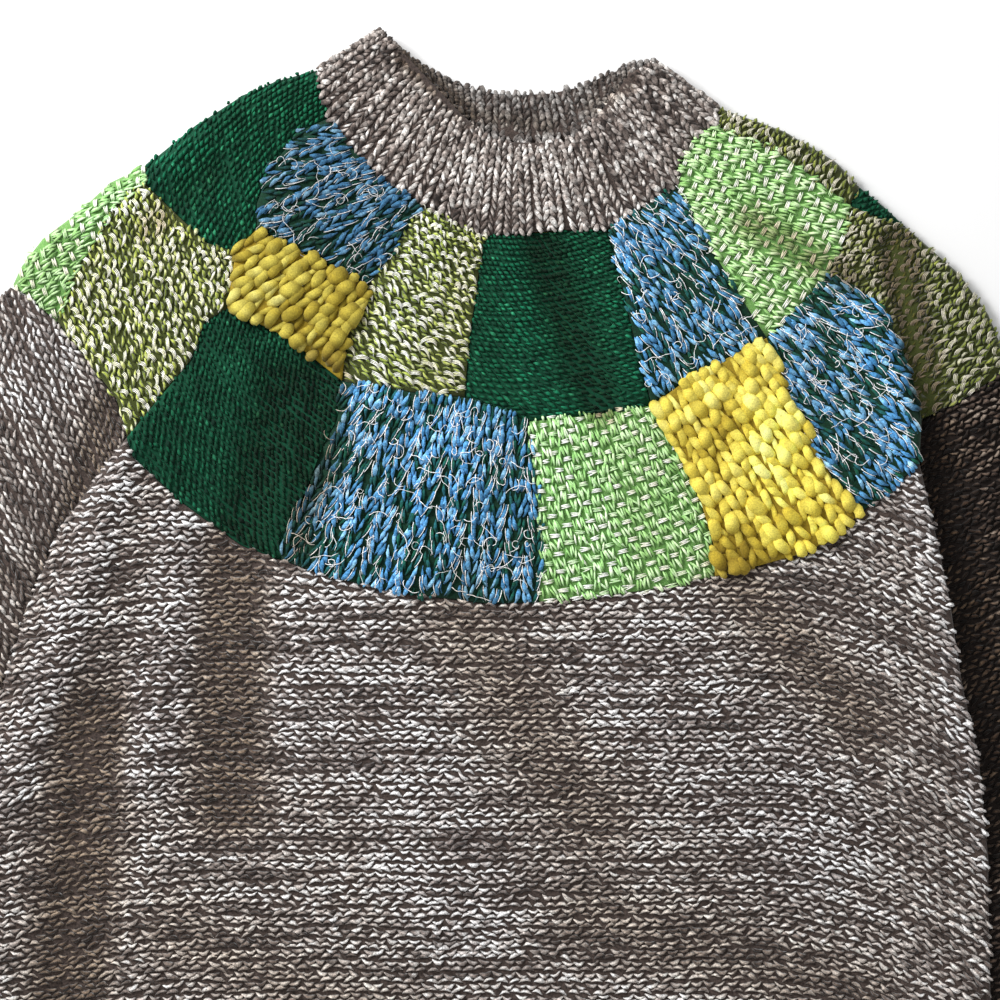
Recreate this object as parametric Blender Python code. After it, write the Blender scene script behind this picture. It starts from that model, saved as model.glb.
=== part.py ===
"""Darned wool sweater with a patchwork yoke, laid flat on its back.

The back lies on the surface, the sleeves lie beside it, and the front lies over both. Each
knitted piece is a wall of its own, parted from its neighbours by a narrow seam. The sizes in
the tables are millimetres on the flat garment: x runs from the left of the view to the right,
y from the hem up to the collar. The last step moves everything so that the origin is the
middle of the underside.
"""

import math

import bmesh
import bpy
from mathutils import Vector, geometry

COLLECTION = "darned_wool_sweater"
MM = 0.001

# Driving sizes of the cloth, millimetres
SEAM = 0.3                # gap between two pieces
BACK_WALL = 3.5           # knit of the back layer
FRONT_WALL = 4.0          # knit of the front layer of the body
SLEEVE_HEIGHT = 9.0       # both layers of a flat sleeve
SLEEVE_WALL = 4.0
SLEEVE_SWELL = 2.4        # how far the sleeve stands up along its middle
COLLAR_WALL = 4.6
COLLAR_BACK = 4.2         # back of the collar, on the surface
COLLAR_RISE = 4.0         # how far the collar's front lifts towards its rim
COLLAR_FOLD = 0.045       # share of the collar's width that its side folds round over
COLLAR_MARGIN = 0.022     # share of its width that the hollow stays off each fold
COLLAR_SEAM = 0.6         # gap between collar and yoke
TUBE_GAP = 1.2            # air between the two layers of a flat sleeve or cuff
TUBE_MARGIN = 5.2         # how far that air stays off the side folds
SWELL_SHARE = 0.7         # share of the sleeve's width, from its outer fold, that swells
CUFF_HEIGHT = 8.0
AIR = 1.8                 # slack between the front layer and what it lies on
RIB_RISE = 1.3            # height of a rib above its furrow
RIB_PITCH = 9.0           # rib to rib along hem and neck seam
CUFF_RIB_PITCH = 8.0

# Rounded edges, millimetres
FOLD_RADIUS = 9.0         # side folds that roll down to the surface
FREE_RADIUS = 4.0         # edges of the body that lie on a sleeve
FOLD_ROWS = (1.5, 4.0, 8.5)
FOLD_FOOT = 4.0           # width of a side fold that touches the surface
EDGE_THICKNESS = 0.8      # cloth at the very edge of a fold
TOUCH_START = 2.0         # cloth this far from a tucked sleeve starts to come down
TOUCH_RAMP = 8.0
SEAM_DIP = 1.3            # how far a piece sinks towards its seams
SEAM_DIP_WIDTH = 5.0
TUCK_FLAT = 20.0          # cloth stays lifted this far around a tucked sleeve
TUCK_RAMP = 26.0          # and comes down over this width

# Mesh spacing, millimetres
EDGE_STEP = 19.0
BLOCK_SPACING = 21.0
BODY_SPACING = 27.0
LEAST_SPACING = 0.9
ROW_CLEARANCE = 0.8       # share of a row's distance that its points keep from every edge
FILL_CLEARANCE = 0.45     # share of the spacing that inner points keep from the last row
FILL_ROW = 0.87           # height of a row of near-equilateral triangles
SLEEVE_FOLD_SHARES = (0.0, 0.012, 0.045)
SLEEVE_COLUMNS = 8
COLLAR_BACK_SHARES = (0.02, 0.06, 0.15, 0.25, 0.35, 0.45, 0.55, 0.65, 0.75, 0.85, 0.94, 0.98)

FRONT_BASE = BACK_WALL + SEAM
TUCK_BASE = SLEEVE_HEIGHT + SEAM

# Yarns: name, wall thickness in mm, colour, roughness
YARNS = {
    "dark_green": (3.6, (0.010, 0.075, 0.035), 0.95),
    "blue_tweed": (5.0, (0.070, 0.180, 0.330), 0.90),
    "yellow": (7.0, (0.560, 0.420, 0.020), 0.90),
    "olive": (4.6, (0.270, 0.290, 0.080), 0.95),
    "light_green": (4.6, (0.250, 0.450, 0.120), 0.90),
    "marl": (4.0, (0.150, 0.125, 0.110), 0.95),
}

# Corners where seams meet: name, x, y
CORNERS = {
    "neck_left": (-117, 337), "neck_1": (-110, 306), "neck_2": (-51, 252),
    "neck_3": (-12, 233), "neck_4": (64, 237), "neck_5": (107, 264),
    "neck_6": (132, 301), "neck_right": (132, 314),
    "fold_1": (-223, 278), "fold_2": (-307, 202), "fold_3": (221, 264),
    "fold_4": (250, 239), "fold_5": (314, 153),
    "mid_1": (-224, 266), "mid_2": (-167, 223), "mid_3": (-154, 237),
    "mid_4": (-85, 202), "mid_5": (-172, 188), "mid_6": (-101, 143),
    "mid_7": (-25, 133), "mid_8": (15, 118), "mid_9": (91, 128),
    "mid_10": (162, 170), "mid_11": (201, 210), "mid_12": (214, 252),
    "low_1": (-278, 180), "low_2": (-234, 108), "low_3": (-139, 32),
    "low_4": (21, 6), "low_5": (130, 22), "low_6": (218, 60),
    "low_7": (256, 93), "low_8": (258, 119),
    "hem_left": (-326, -299), "hem_right": (302, -299),
}

# Seams and edges: name, first corner, points between, last corner
SEAMS = {
    "neck_a": ("neck_left", [], "neck_1"),
    "neck_b": ("neck_1", [(-95, 288), (-78, 269)], "neck_2"),
    "neck_c": ("neck_2", [(-33, 242)], "neck_3"),
    "neck_d": ("neck_3", [(30, 236)], "neck_4"),
    "neck_e": ("neck_4", [(84, 250)], "neck_5"),
    "neck_f": ("neck_5", [(109, 278), (117, 292)], "neck_6"),
    "neck_g": ("neck_6", [], "neck_right"),
    "fold_a": ("neck_left", [(-140, 331), (-164, 321), (-195, 301)], "fold_1"),
    "fold_b": ("fold_1", [(-246, 267), (-264, 250), (-288, 232), (-301, 215)], "fold_2"),
    "fold_c": ("neck_right", [(174, 299), (206, 280)], "fold_3"),
    "fold_d": ("fold_3", [(236, 252)], "fold_4"),
    "fold_e": ("fold_4", [(282, 211), (301, 185)], "fold_5"),
    "ring_a": ("fold_1", [], "mid_1"),
    "ring_b": ("mid_1", [(-200, 243), (-185, 229)], "mid_2"),
    "ring_c": ("mid_2", [], "mid_3"),
    "ring_d": ("mid_3", [(-131, 225)], "mid_4"),
    "ring_e": ("mid_4", [(-86, 188), (-98, 171)], "mid_6"),
    "ring_f": ("mid_6", [(-56, 136)], "mid_7"),
    "ring_g": ("mid_7", [], "mid_8"),
    "ring_h": ("mid_8", [(53, 122)], "mid_9"),
    "ring_i": ("mid_9", [(110, 142), (135, 156)], "mid_10"),
    "ring_j": ("mid_11", [(183, 190)], "mid_10"),
    "ring_k": ("mid_12", [(211, 232)], "mid_11"),
    "ring_l": ("mid_5", [(-135, 170)], "mid_6"),
    "top_a": ("mid_3", [(-154, 253), (-145, 277), (-125, 299)], "neck_1"),
    "top_b": ("mid_4", [(-70, 223)], "neck_2"),
    "top_c": ("neck_3", [(-16, 211), (-22, 169)], "mid_7"),
    "top_d": ("neck_4", [(69, 217), (80, 170)], "mid_9"),
    "top_e": ("neck_5", [(116, 246), (126, 228), (143, 200)], "mid_10"),
    "top_f": ("neck_6", [(169, 285), (192, 269)], "mid_12"),
    "top_g": ("fold_3", [], "mid_12"),
    "top_h": ("mid_12", [(232, 244)], "fold_4"),
    "low_a": ("mid_1", [(-242, 252), (-254, 231), (-267, 210)], "low_1"),
    "low_b": ("mid_2", [(-170, 203)], "mid_5"),
    "low_c": ("mid_5", [(-186, 180), (-195, 156)], "low_2"),
    "low_d": ("mid_6", [(-104, 120), (-113, 103), (-126, 69), (-137, 47)], "low_3"),
    "low_e": ("mid_8", [(18, 90), (22, 48)], "low_4"),
    "low_f": ("mid_9", [(106, 100), (121, 69), (129, 42)], "low_5"),
    "low_g": ("mid_10", [(180, 126), (203, 81)], "low_6"),
    "low_h": ("mid_11", [(216, 203), (231, 191), (240, 177), (247, 161), (254, 137)], "low_8"),
    "arm_a": ("fold_2", [(-294, 194)], "low_1"),
    "arm_b": ("low_1", [(-259, 156), (-241, 132)], "low_2"),
    "arm_c": ("low_8", [], "low_7"),
    "arm_d": ("fold_5", [(290, 135)], "low_8"),
    "body_a": ("low_2", [(-229, 95), (-202, 69), (-164, 41)], "low_3"),
    "body_b": ("low_3", [(-102, 20), (-60, 11), (-11, 5)], "low_4"),
    "body_c": ("low_4", [(86, 13)], "low_5"),
    "body_d": ("low_5", [(159, 29), (187, 37), (206, 48)], "low_6"),
    "body_e": ("low_6", [(239, 76)], "low_7"),
    "side_a": ("low_2", [(-254, 82), (-276, 51), (-294, 7), (-310, -42), (-318, -92),
                         (-322, -179)], "hem_left"),
    "side_b": ("low_7", [(267, 45), (275, 7), (282, -42), (293, -92), (299, -154),
                         (301, -241)], "hem_right"),
}

YOKE_FOLDS = ("fold_a", "fold_b", "fold_c", "fold_d", "fold_e")
BODY_FOLDS = ("side_a", "side_b", "arm_c")

# Front yoke: name, yarn, lies beside a tucked sleeve, seams in order (- runs backwards)
BLOCKS = (
    ("yoke_front_a1", "dark_green", False, "fold_a ring_a ring_b ring_c top_a -neck_a"),
    ("yoke_front_a2", "blue_tweed", False, "-top_a ring_d top_b -neck_b"),
    ("yoke_front_a3", "olive", False, "-top_b ring_e ring_f -top_c -neck_c"),
    ("yoke_front_a4", "yellow", False, "-ring_d -ring_c low_b ring_l -ring_e"),
    ("yoke_front_a5", "dark_green", False, "top_c ring_g ring_h -top_d -neck_d"),
    ("yoke_front_a6", "blue_tweed", False, "top_d ring_i -top_e -neck_e"),
    ("yoke_front_a7", "light_green", False, "top_e -ring_j -ring_k -top_f -neck_f"),
    ("yoke_front_a8", "olive", False, "top_f -top_g -fold_c -neck_g"),
    ("yoke_front_b1", "light_green", False, "fold_b arm_a -low_a -ring_a"),
    ("yoke_front_b2", "olive", False, "low_a arm_b -low_c -low_b -ring_b"),
    ("yoke_front_b3", "dark_green", True, "low_c body_a -low_d -ring_l"),
    ("yoke_front_b4", "blue_tweed", True, "low_d body_b -low_e -ring_g -ring_f"),
    ("yoke_front_b5", "light_green", True, "low_e body_c -low_f -ring_h"),
    ("yoke_front_b6", "yellow", True, "low_f body_d -low_g -ring_i"),
    ("yoke_front_b7", "blue_tweed", True, "low_g body_e -arm_c -low_h ring_j"),
    ("yoke_front_b8", "olive", False, "ring_k low_h -arm_d -fold_e -top_h"),
    ("yoke_front_b9", "dark_green", False, "top_g top_h -fold_d"),
)

# Back yoke, spokes from the neck to the edge: neck x, y, middle x, y, edge x, y
SPOKES = (
    (-104, 319, -214, 273, -294, 203),
    (-96, 308, -195, 255, -275, 184),
    (-86, 296, -175, 232, -235, 134),
    (-70, 284, -147, 200, -210, 91),
    (-46, 272, -96, 172, -133, 53),
    (-17, 264, -33, 155, -46, 36),
    (16, 263, 25, 153, 34, 32),
    (48, 268, 89, 162, 121, 46),
    (76, 279, 149, 190, 218, 86),
    (97, 291, 180, 217, 254, 125),
    (115, 303, 206, 258, 301, 155),
)
LEFT_BOW = ((-159, 310), (-258, 242))
RIGHT_BOW = ((168, 290), (264, 216))
BACK_INNER = ((0, 2, "light_green"), (2, 4, "dark_green"), (4, 6, "olive"),
              (6, 8, "yellow"), (8, 10, "blue_tweed"))
BACK_OUTER = ((0, 1, "olive"), (1, 3, "blue_tweed"), (3, 5, "light_green"),
              (5, 7, "dark_green"), (7, 9, "olive"), (9, 10, "dark_green"))
BACK_LEFT = ((-234, 60), (-249, 35), (-263, 4), (-275, -32), (-284, -74), (-293, -122),
             (-299, -171), (-306, -219), (-309, -266), (-304, -299))
BACK_RIGHT = ((231, 47), (243, 11), (253, -26), (263, -65), (271, -110), (278, -156),
              (284, -200), (287, -244), (287, -278), (282, -299))

# Sleeves below their seam with the yoke: middle x, middle y, tilt in degrees, flat width
LEFT_SLEEVE = (
    (-291, 114, 44, 144), (-313, 78, 34, 141), (-330, 35, 25, 138), (-343, -11, 17, 133),
    (-352, -61, 11, 128), (-358, -113, 7, 122), (-362, -166, 5, 115), (-366, -216, 4, 110),
    (-371, -250, 4, 105), (-381, -285, 5, 101), (-386, -306, 5, 97),
)
LEFT_CUFF = ((-386, -306.4, 5, 88), (-390, -338, 4, 82), (-393, -368, 3, 80))
RIGHT_SLEEVE = (
    (290, 82, 32, 122), (307, 42, 26, 128), (321, -2, 20, 130), (332, -48, 14, 129),
    (339, -98, 10, 126), (344, -148, 7, 121), (348, -194, 5, 115), (352, -241, 4, 110),
    (362, -281, 5, 104), (372, -315, 5, 97),
)
RIGHT_CUFF = ((372, -315.4, 5, 88), (376, -347, 4, 82), (379, -377, 3, 80))
RIGHT_SLEEVE_TIP = (225, 85)      # end of the yoke seam that is tucked under the front
LEFT_SEAM_GAP = (-0.4, -0.4)      # the sleeves stand off the yoke's outline by this
RIGHT_SEAM_GAP = (0.3, -0.6)

# Hem band: top and bottom corners
HEM_FRONT = ((-320, -299.3), (-313, -357), (291, -357), (297, -299.3))
HEM_BACK = ((-308, -299), (-302, -357), (280, -357), (285, -299))

# Collar rims, from the left fold to the right fold
COLLAR_FRONT_RIM = (
    (-78, 361), (-58, 341), (-42, 324), (-27, 308), (-13, 296), (-1, 291), (22, 290),
    (38, 291), (52, 298), (58, 308), (69, 322), (77, 333), (93, 342),
)
COLLAR_BACK_RIM = (
    (-78, 361), (-61, 345), (-44, 335), (-29, 327), (-10, 322), (9, 321), (30, 322),
    (50, 327), (64, 334), (76, 340), (93, 342),
)
COLLAR_HEART = (8, 315)           # middle of the neck's opening
# Collar rows: share of the way to the rim, rise of the front layer as a share
COLLAR_ROWS = ((0.0, 0.0), (0.3, 0.45), (0.7, 0.9), (1.0, 1.0))

# Soft folds of the front: x and y of both ends, half width, height (below zero is a furrow)
FOLDS = (
    (-127, 130, -165, 40, 20, -1.8),
    (-165, 40, -162, -110, 22, -1.8),
    (25, 220, 60, 125, 12, -1.5),
    (-262, -60, -268, -240, 24, -1.8),
    (-236, 86, -285, -20, 18, 2.6),
    (226, 180, 256, 100, 15, 2.4),
    (256, 100, 272, -30, 16, 2.2),
    (-95, -20, -30, -170, 45, 1.6),
    (90, -60, 190, -140, 40, 1.4),
    (-210, 0, -225, -120, 20, 1.6),
)


def add(a, b, scale=1.0):
    """Point a moved by vector b times a scale."""
    return (a[0] + b[0] * scale, a[1] + b[1] * scale)


def between(a, b, share):
    """Point at a share of the way from a to b."""
    return (a[0] + (b[0] - a[0]) * share, a[1] + (b[1] - a[1]) * share)


def smooth(value):
    """Ease from 0 to 1 while the value goes from 0 to 1."""
    value = min(max(value, 0.0), 1.0)
    return value * value * (3.0 - 2.0 * value)


def subdivide(points, step):
    """Split each straight stretch of a line into equal parts no longer than a step."""
    result = [points[0]]
    for start, end in zip(points, points[1:]):
        parts = max(1, math.ceil(math.dist(start, end) / step))
        result += [between(start, end, i / parts) for i in range(1, parts + 1)]
    return result


def along(points, share):
    """Point at a share of a line's length."""
    lengths = [math.dist(a, b) for a, b in zip(points, points[1:])]
    left = share * sum(lengths)
    for start, end, length in zip(points, points[1:], lengths):
        if left <= length + 1e-9:
            return between(start, end, left / length)
        left -= length
    return points[-1]


def seam_points(name):
    """Corner points of a seam, in order."""
    first, middle, last = SEAMS[name]
    return [CORNERS[first], *middle, CORNERS[last]]


def outline(seams, step=EDGE_STEP):
    """Closed outline along seams that follow each other."""
    points = []
    for word in seams.split():
        line = subdivide(seam_points(word.lstrip("-")), step)
        points += (line[::-1] if word.startswith("-") else line)[:-1]
    return points


def signed_area(points):
    """Area of an outline, above zero when it runs anticlockwise."""
    pairs = zip(points, points[1:] + points[:1])
    return sum(a[0] * b[1] - b[0] * a[1] for a, b in pairs) / 2.0


def inset(points, distance):
    """Anticlockwise outline moved inwards by a distance, with mitred corners."""
    result = []
    for before, here, after in zip(points[-1:] + points[:-1], points, points[1:] + points[:1]):
        first = Vector((here[0] - before[0], here[1] - before[1])).normalized()
        second = Vector((after[0] - here[0], after[1] - here[1])).normalized()
        normal = Vector((-first.y - second.y, first.x + second.x))
        normal.normalize()
        cosine = max(0.35, normal.dot(Vector((-first.y, first.x))))
        result.append(add(here, normal, distance / cosine))
    return result


def line_distance(point, points):
    """Distance from a point to an open line."""
    best = 1e9
    for start, end in zip(points, points[1:]):
        dx, dy = end[0] - start[0], end[1] - start[1]
        share = ((point[0] - start[0]) * dx + (point[1] - start[1]) * dy) / (dx * dx + dy * dy)
        best = min(best, math.dist(point, between(start, end, min(max(share, 0.0), 1.0))))
    return best


def inside(point, points):
    """Whether a point is inside an outline."""
    hit = False
    for a, b in zip(points, points[1:] + points[:1]):
        if (a[1] > point[1]) != (b[1] > point[1]):
            if point[0] < a[0] + (point[1] - a[1]) * (b[0] - a[0]) / (b[1] - a[1]):
                hit = not hit
    return hit


def sleeve_line(section, side, share):
    """Point on a flat sleeve's section, from its outer fold (0) to its inner one (1)."""
    x, y, tilt, width = section
    angle = math.radians(tilt)
    reach = width * (share - 0.5)
    return (x + side * math.cos(angle) * reach, y - math.sin(angle) * reach)


def inner_half(start, sections, side):
    """Outline of the half of a sleeve that lies next to the body."""
    inner = [sleeve_line(section, side, 1.0) for section in sections]
    outer = [sleeve_line(section, side, 0.5) for section in sections]
    return [*start, *inner, *outer[::-1]]


LEFT_TUCK_START = [(-262, 132), (-228, 114)]
RIGHT_TUCK_START = [(262, 123), RIGHT_SLEEVE_TIP]
SLEEVES = (
    inner_half(LEFT_TUCK_START, LEFT_SLEEVE, 1),
    inner_half(RIGHT_TUCK_START, RIGHT_SLEEVE, -1),
)
TUCKS = (
    inner_half(LEFT_TUCK_START, LEFT_SLEEVE[:-2], 1),
    inner_half(RIGHT_TUCK_START, RIGHT_SLEEVE[:-2], -1),
)
YOKE_EDGES = [seam_points(name) for name in YOKE_FOLDS]
BODY_EDGES = [seam_points(name) for name in BODY_FOLDS]
BODY_EDGES += [[HEM_FRONT[0], HEM_FRONT[1]], [HEM_FRONT[2], HEM_FRONT[3]]]


def outline_distance(point, outlines):
    """Distance to the nearest of some outlines, below zero inside it."""
    best = 1e9
    for points in outlines:
        distance = line_distance(point, points + points[:1])
        best = min(best, -distance if inside(point, points) else distance)
    return best


def slack(point):
    """Height of the air under the front layer: slack, ridges and furrows."""
    height = AIR
    for x0, y0, x1, y1, half_width, rise in FOLDS:
        distance = line_distance(point, [(x0, y0), (x1, y1)]) / half_width
        height += rise * smooth(1.0 - distance / 1.6)
    return max(height, 0.0)


def front_heights(point, thickness, lifted, rise=0.0):
    """Underside and top of the front layer at a point, for a wall and a rib's rise."""
    edge = min(line_distance(point, line) for line in (BODY_EDGES if lifted else YOKE_EDGES))
    on_floor = 1.0
    base = FRONT_BASE
    if lifted:
        apart = outline_distance(point, TUCKS)
        on_floor = smooth((outline_distance(point, SLEEVES) - TOUCH_START) / TOUCH_RAMP)
        base += (TUCK_BASE - FRONT_BASE) * smooth(1.0 - (apart - TUCK_FLAT) / TUCK_RAMP)
    radius = FREE_RADIUS + (FOLD_RADIUS - FREE_RADIUS) * on_floor
    roll = rounded(edge, radius)
    lowered = on_floor * (1.0 - smooth((edge - FOLD_FOOT) / FOLD_FOOT))
    air = slack(point) * roll
    under = (base + air) * (1.0 - lowered)
    top = base * (1.0 - on_floor * (1.0 - roll)) + air + (thickness + rise) * roll
    return under, max(top, under + EDGE_THICKNESS)


def filled(points, rows, spacing):
    """Triangles and points of an outline, with rows along its edge and points inside."""
    extra = []
    closed = points + points[:1]
    for row in rows:
        ring = inset(points, row)
        extra += [p for p in ring
                  if inside(p, points) and line_distance(p, closed) > row * ROW_CLEARANCE]
    clear = rows[-1] + spacing * FILL_CLEARANCE
    xs = [p[0] for p in points]
    ys = [p[1] for p in points]
    line = 0
    y = min(ys) + spacing * 0.5
    while y < max(ys):
        x = min(xs) + spacing * (0.5 if line % 2 else 1.0)
        while x < max(xs):
            if inside((x, y), points) and line_distance((x, y), closed) > clear:
                extra.append((x, y))
            x += spacing
        y += spacing * FILL_ROW
        line += 1
    thinned = []
    for point in extra:
        if all(math.dist(point, other) > LEAST_SPACING for other in thinned):
            thinned.append(point)
    coords = [Vector(p) for p in points + thinned]
    face = [list(range(len(points)))]
    verts, _, faces, *_ = geometry.delaunay_2d_cdt(coords, [], face, 1, 1e-4)
    return [(v.x, v.y) for v in verts], faces


def new_object(name, bm, yarn):
    """Object of a finished mesh, with its yarn's material, in the garment's collection."""
    bmesh.ops.recalc_face_normals(bm, faces=bm.faces[:])
    bmesh.ops.scale(bm, vec=(MM, MM, MM), verts=bm.verts[:])
    mesh = bpy.data.meshes.new(name)
    bm.to_mesh(mesh)
    bm.free()
    mesh.materials.append(material(name, yarn))
    obj = bpy.data.objects.new(name, mesh)
    bpy.data.collections[COLLECTION].objects.link(obj)
    return obj


def material(name, yarn):
    """Matte wool in the yarn's colour."""
    _, colour, roughness = YARNS[yarn]
    result = bpy.data.materials.new(name + "_wool")
    result.use_nodes = True
    shader = result.node_tree.nodes["Principled BSDF"]
    shader.inputs["Base Color"].default_value = (*colour, 1.0)
    shader.inputs["Roughness"].default_value = roughness
    shader.inputs["Metallic"].default_value = 0.0
    return result


def wall(name, yarn, points, faces, heights):
    """Closed wall over an outline: a surface at its tops, extruded down to its undersides."""
    bm = bmesh.new()
    verts = [bm.verts.new((x, y, heights((x, y))[1])) for x, y in points]
    for face in faces:
        bm.faces.new([verts[i] for i in face])
    made = bmesh.ops.extrude_face_region(bm, geom=bm.faces[:])
    for item in made["geom"]:
        if isinstance(item, bmesh.types.BMVert):
            item.co.z = heights((item.co.x, item.co.y))[0]
    return new_object(name, bm, yarn)


def front_piece(name, yarn, seams, lifted, spacing, rows):
    """One knitted piece of the front layer."""
    points = outline(seams)
    if signed_area(points) < 0.0:
        points.reverse()
    points = inset(points, SEAM / 2.0)
    closed = points + points[:1]
    thickness = YARNS[yarn][0]

    def heights(point):
        dip = SEAM_DIP * (1.0 - smooth(line_distance(point, closed) / SEAM_DIP_WIDTH))
        return front_heights(point, thickness - dip, lifted)

    coords, faces = filled(points, rows, spacing)
    return wall(name, yarn, coords, faces, heights)


def back_piece(name, yarn, points):
    """One flat piece of the back layer, on the surface."""
    if signed_area(points) < 0.0:
        points = points[::-1]
    points = inset(points, SEAM / 2.0)
    faces = [list(range(len(points)))]
    return wall(name, yarn, points, faces, lambda point: (0.0, BACK_WALL))


def spoke_point(index, part):
    """Neck (0), middle (1) or edge (2) point of a back spoke."""
    return SPOKES[index][2 * part: 2 * part + 2]


def back_yoke():
    """Eleven blocks of the back yoke, in two rings."""
    for part, ring, label in ((0, BACK_INNER, "a"), (1, BACK_OUTER, "b")):
        for number, (first, last, yarn) in enumerate(ring, 1):
            span = range(first, last + 1)
            near = [spoke_point(i, part) for i in span]
            far = [spoke_point(i, part + 1) for i in span]
            left = [LEFT_BOW[part]] if first == 0 else []
            right = [RIGHT_BOW[part]] if last == len(SPOKES) - 1 else []
            points = near + right + far[::-1] + left
            back_piece(f"yoke_back_{label}{number}", yarn, points)


def body():
    """Front and back of the body."""
    front_piece("body_front", "marl",
                "side_a hem -side_b -body_e -body_d -body_c -body_b -body_a",
                True, BODY_SPACING, FOLD_ROWS)
    top = [spoke_point(i, 2) for i in range(3, 9)]
    back_piece("body_back", "marl", top + list(BACK_RIGHT) + list(BACK_LEFT)[::-1])


def hem():
    """Ribbed hem band, front and back."""
    top_left, low_left, low_right, top_right = HEM_FRONT
    ribs = round((top_right[0] - top_left[0]) / RIB_PITCH)
    count = 2 * ribs + 1
    upper = [between(top_left, top_right, i / (count - 1)) for i in range(count)]
    lower = [between(low_left, low_right, i / (count - 1)) for i in range(count)]
    faces = [[i, i + 1, 2 * count - 2 - i, 2 * count - 1 - i] for i in range(count - 1)]

    def heights(point):
        down = (point[1] - top_left[1]) / (low_left[1] - top_left[1])
        left = between(top_left, low_left, down)[0]
        right = between(top_right, low_right, down)[0]
        turns = ribs * (point[0] - left) / (right - left)
        rise = RIB_RISE * (0.5 + 0.5 * math.cos(2.0 * math.pi * turns))
        return front_heights(point, FRONT_WALL - SEAM_DIP, True, rise)

    wall("hem_front", "marl", lower + upper[::-1], faces, heights)
    back_piece("hem_back", "marl", list(HEM_BACK))


def tube(name, rows):
    """Closed marled wall of an open tube, from rows of an outer and an inner ring."""
    bm = bmesh.new()
    rings = [[[bm.verts.new(p) for p in ring] for ring in row] for row in rows]
    count = len(rings[0][0])
    for below, above in zip(rings, rings[1:]):
        for side in (0, 1):
            for i in range(count):
                j = (i + 1) % count
                bm.faces.new((below[side][i], below[side][j], above[side][j], above[side][i]))
    for outer, inner in (rings[0], rings[-1]):
        for i in range(count):
            j = (i + 1) % count
            bm.faces.new((outer[i], outer[j], inner[j], inner[i]))
    return new_object(name, bm, "marl")


def rounded(distance, radius):
    """Rise of a quarter circle, from 0 at its edge to 1 at its radius."""
    share = min(max(distance / radius, 0.0), 1.0)
    return math.sqrt(1.0 - (1.0 - share) ** 2)


def flat_section(line, shares, height, swell, rises):
    """Outer and inner ring of a flat tube's section over a line in plan."""
    width = sum(math.dist(a, b) for a, b in zip(line, line[1:]))
    margin = TUBE_MARGIN / width
    middle = height / 2.0
    top, low, inner_top, inner_low = [], [], [], []
    for share, rise in zip(shares, rises):
        roll = rounded(min(share, 1.0 - share) * width, middle)
        bump = swell * math.sin(math.pi * min(share / SWELL_SHARE, 1.0))
        air = TUBE_GAP / 2.0 * roll
        x, y = along(line, share)
        inner_x, inner_y = along(line, margin + share * (1.0 - 2.0 * margin))
        top.append((x, y, middle + middle * roll + bump + rise * roll))
        low.append((x, y, middle - middle * roll))
        inner_top.append((inner_x, inner_y, middle + air + bump))
        inner_low.append((inner_x, inner_y, middle - air + bump))
    return top + low[-2:0:-1], inner_top + inner_low[-2:0:-1]


def sleeve(name, yoke_line, sections, side):
    """A flat sleeve from its seam with the yoke down to its cuff."""
    near = SLEEVE_FOLD_SHARES
    reach = 1.0 - 2.0 * near[-1]
    inner = [near[-1] + reach * i / SLEEVE_COLUMNS for i in range(1, SLEEVE_COLUMNS)]
    shares = [*near, *inner, *[1.0 - share for share in near[::-1]]]
    plain = [0.0] * len(shares)
    rows = [flat_section(yoke_line, shares, SLEEVE_HEIGHT, 0.0, plain)]
    for index, section in enumerate(sections):
        line = [sleeve_line(section, side, 0.0), sleeve_line(section, side, 1.0)]
        swell = SLEEVE_SWELL * smooth((index + 1) / 2.0) * smooth((len(sections) - index) / 3.0)
        rows.append(flat_section(line, shares, SLEEVE_HEIGHT, swell, plain))
    return tube(name, rows)


def cuff(name, sections, side):
    """A ribbed cuff: ribs on its upper face, flat where it rests."""
    ribs = round(sections[-1][3] / CUFF_RIB_PITCH)
    shares = [0.0] + [(i + 0.5) / (2 * ribs) for i in range(2 * ribs)] + [1.0]
    rises = [0.0] + [RIB_RISE * (i % 2) for i in range(2 * ribs)] + [0.0]
    rows = []
    for section in sections:
        line = [sleeve_line(section, side, 0.0), sleeve_line(section, side, 1.0)]
        rows.append(flat_section(line, shares, CUFF_HEIGHT, 0.0, rises))
    return tube(name, rows)


def collar():
    """Ribbed funnel collar, lying flat: front and back in one tube, folded at both sides."""
    neck = []
    for letter in "abcdefg":
        neck += subdivide(seam_points("neck_" + letter), RIB_PITCH / 2.0)[:-1]
    neck.append(CORNERS["neck_right"])
    if len(neck) % 2 == 0:
        neck.insert(-1, between(neck[-2], neck[-1], 0.5))
    count = len(neck)
    heart = Vector(COLLAR_HEART)
    neck = [add(p, (heart - Vector(p)).normalized(), COLLAR_SEAM) for p in neck]
    back_neck = [add(spoke_point(i, 0), (0.0, 1.0), 1.6) for i in range(len(SPOKES))]
    back_neck = [neck[0], *back_neck, neck[-1]]
    rows = []
    for share, rise in COLLAR_ROWS:
        front = [between(neck[i], along(COLLAR_FRONT_RIM, i / (count - 1)), share)
                 for i in range(count)]
        back = [between(along(back_neck, s), along(COLLAR_BACK_RIM, s), share)
                for s in COLLAR_BACK_SHARES]
        rows.append(collar_row(front, back, rise))
    return tube("collar", rows)


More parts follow.
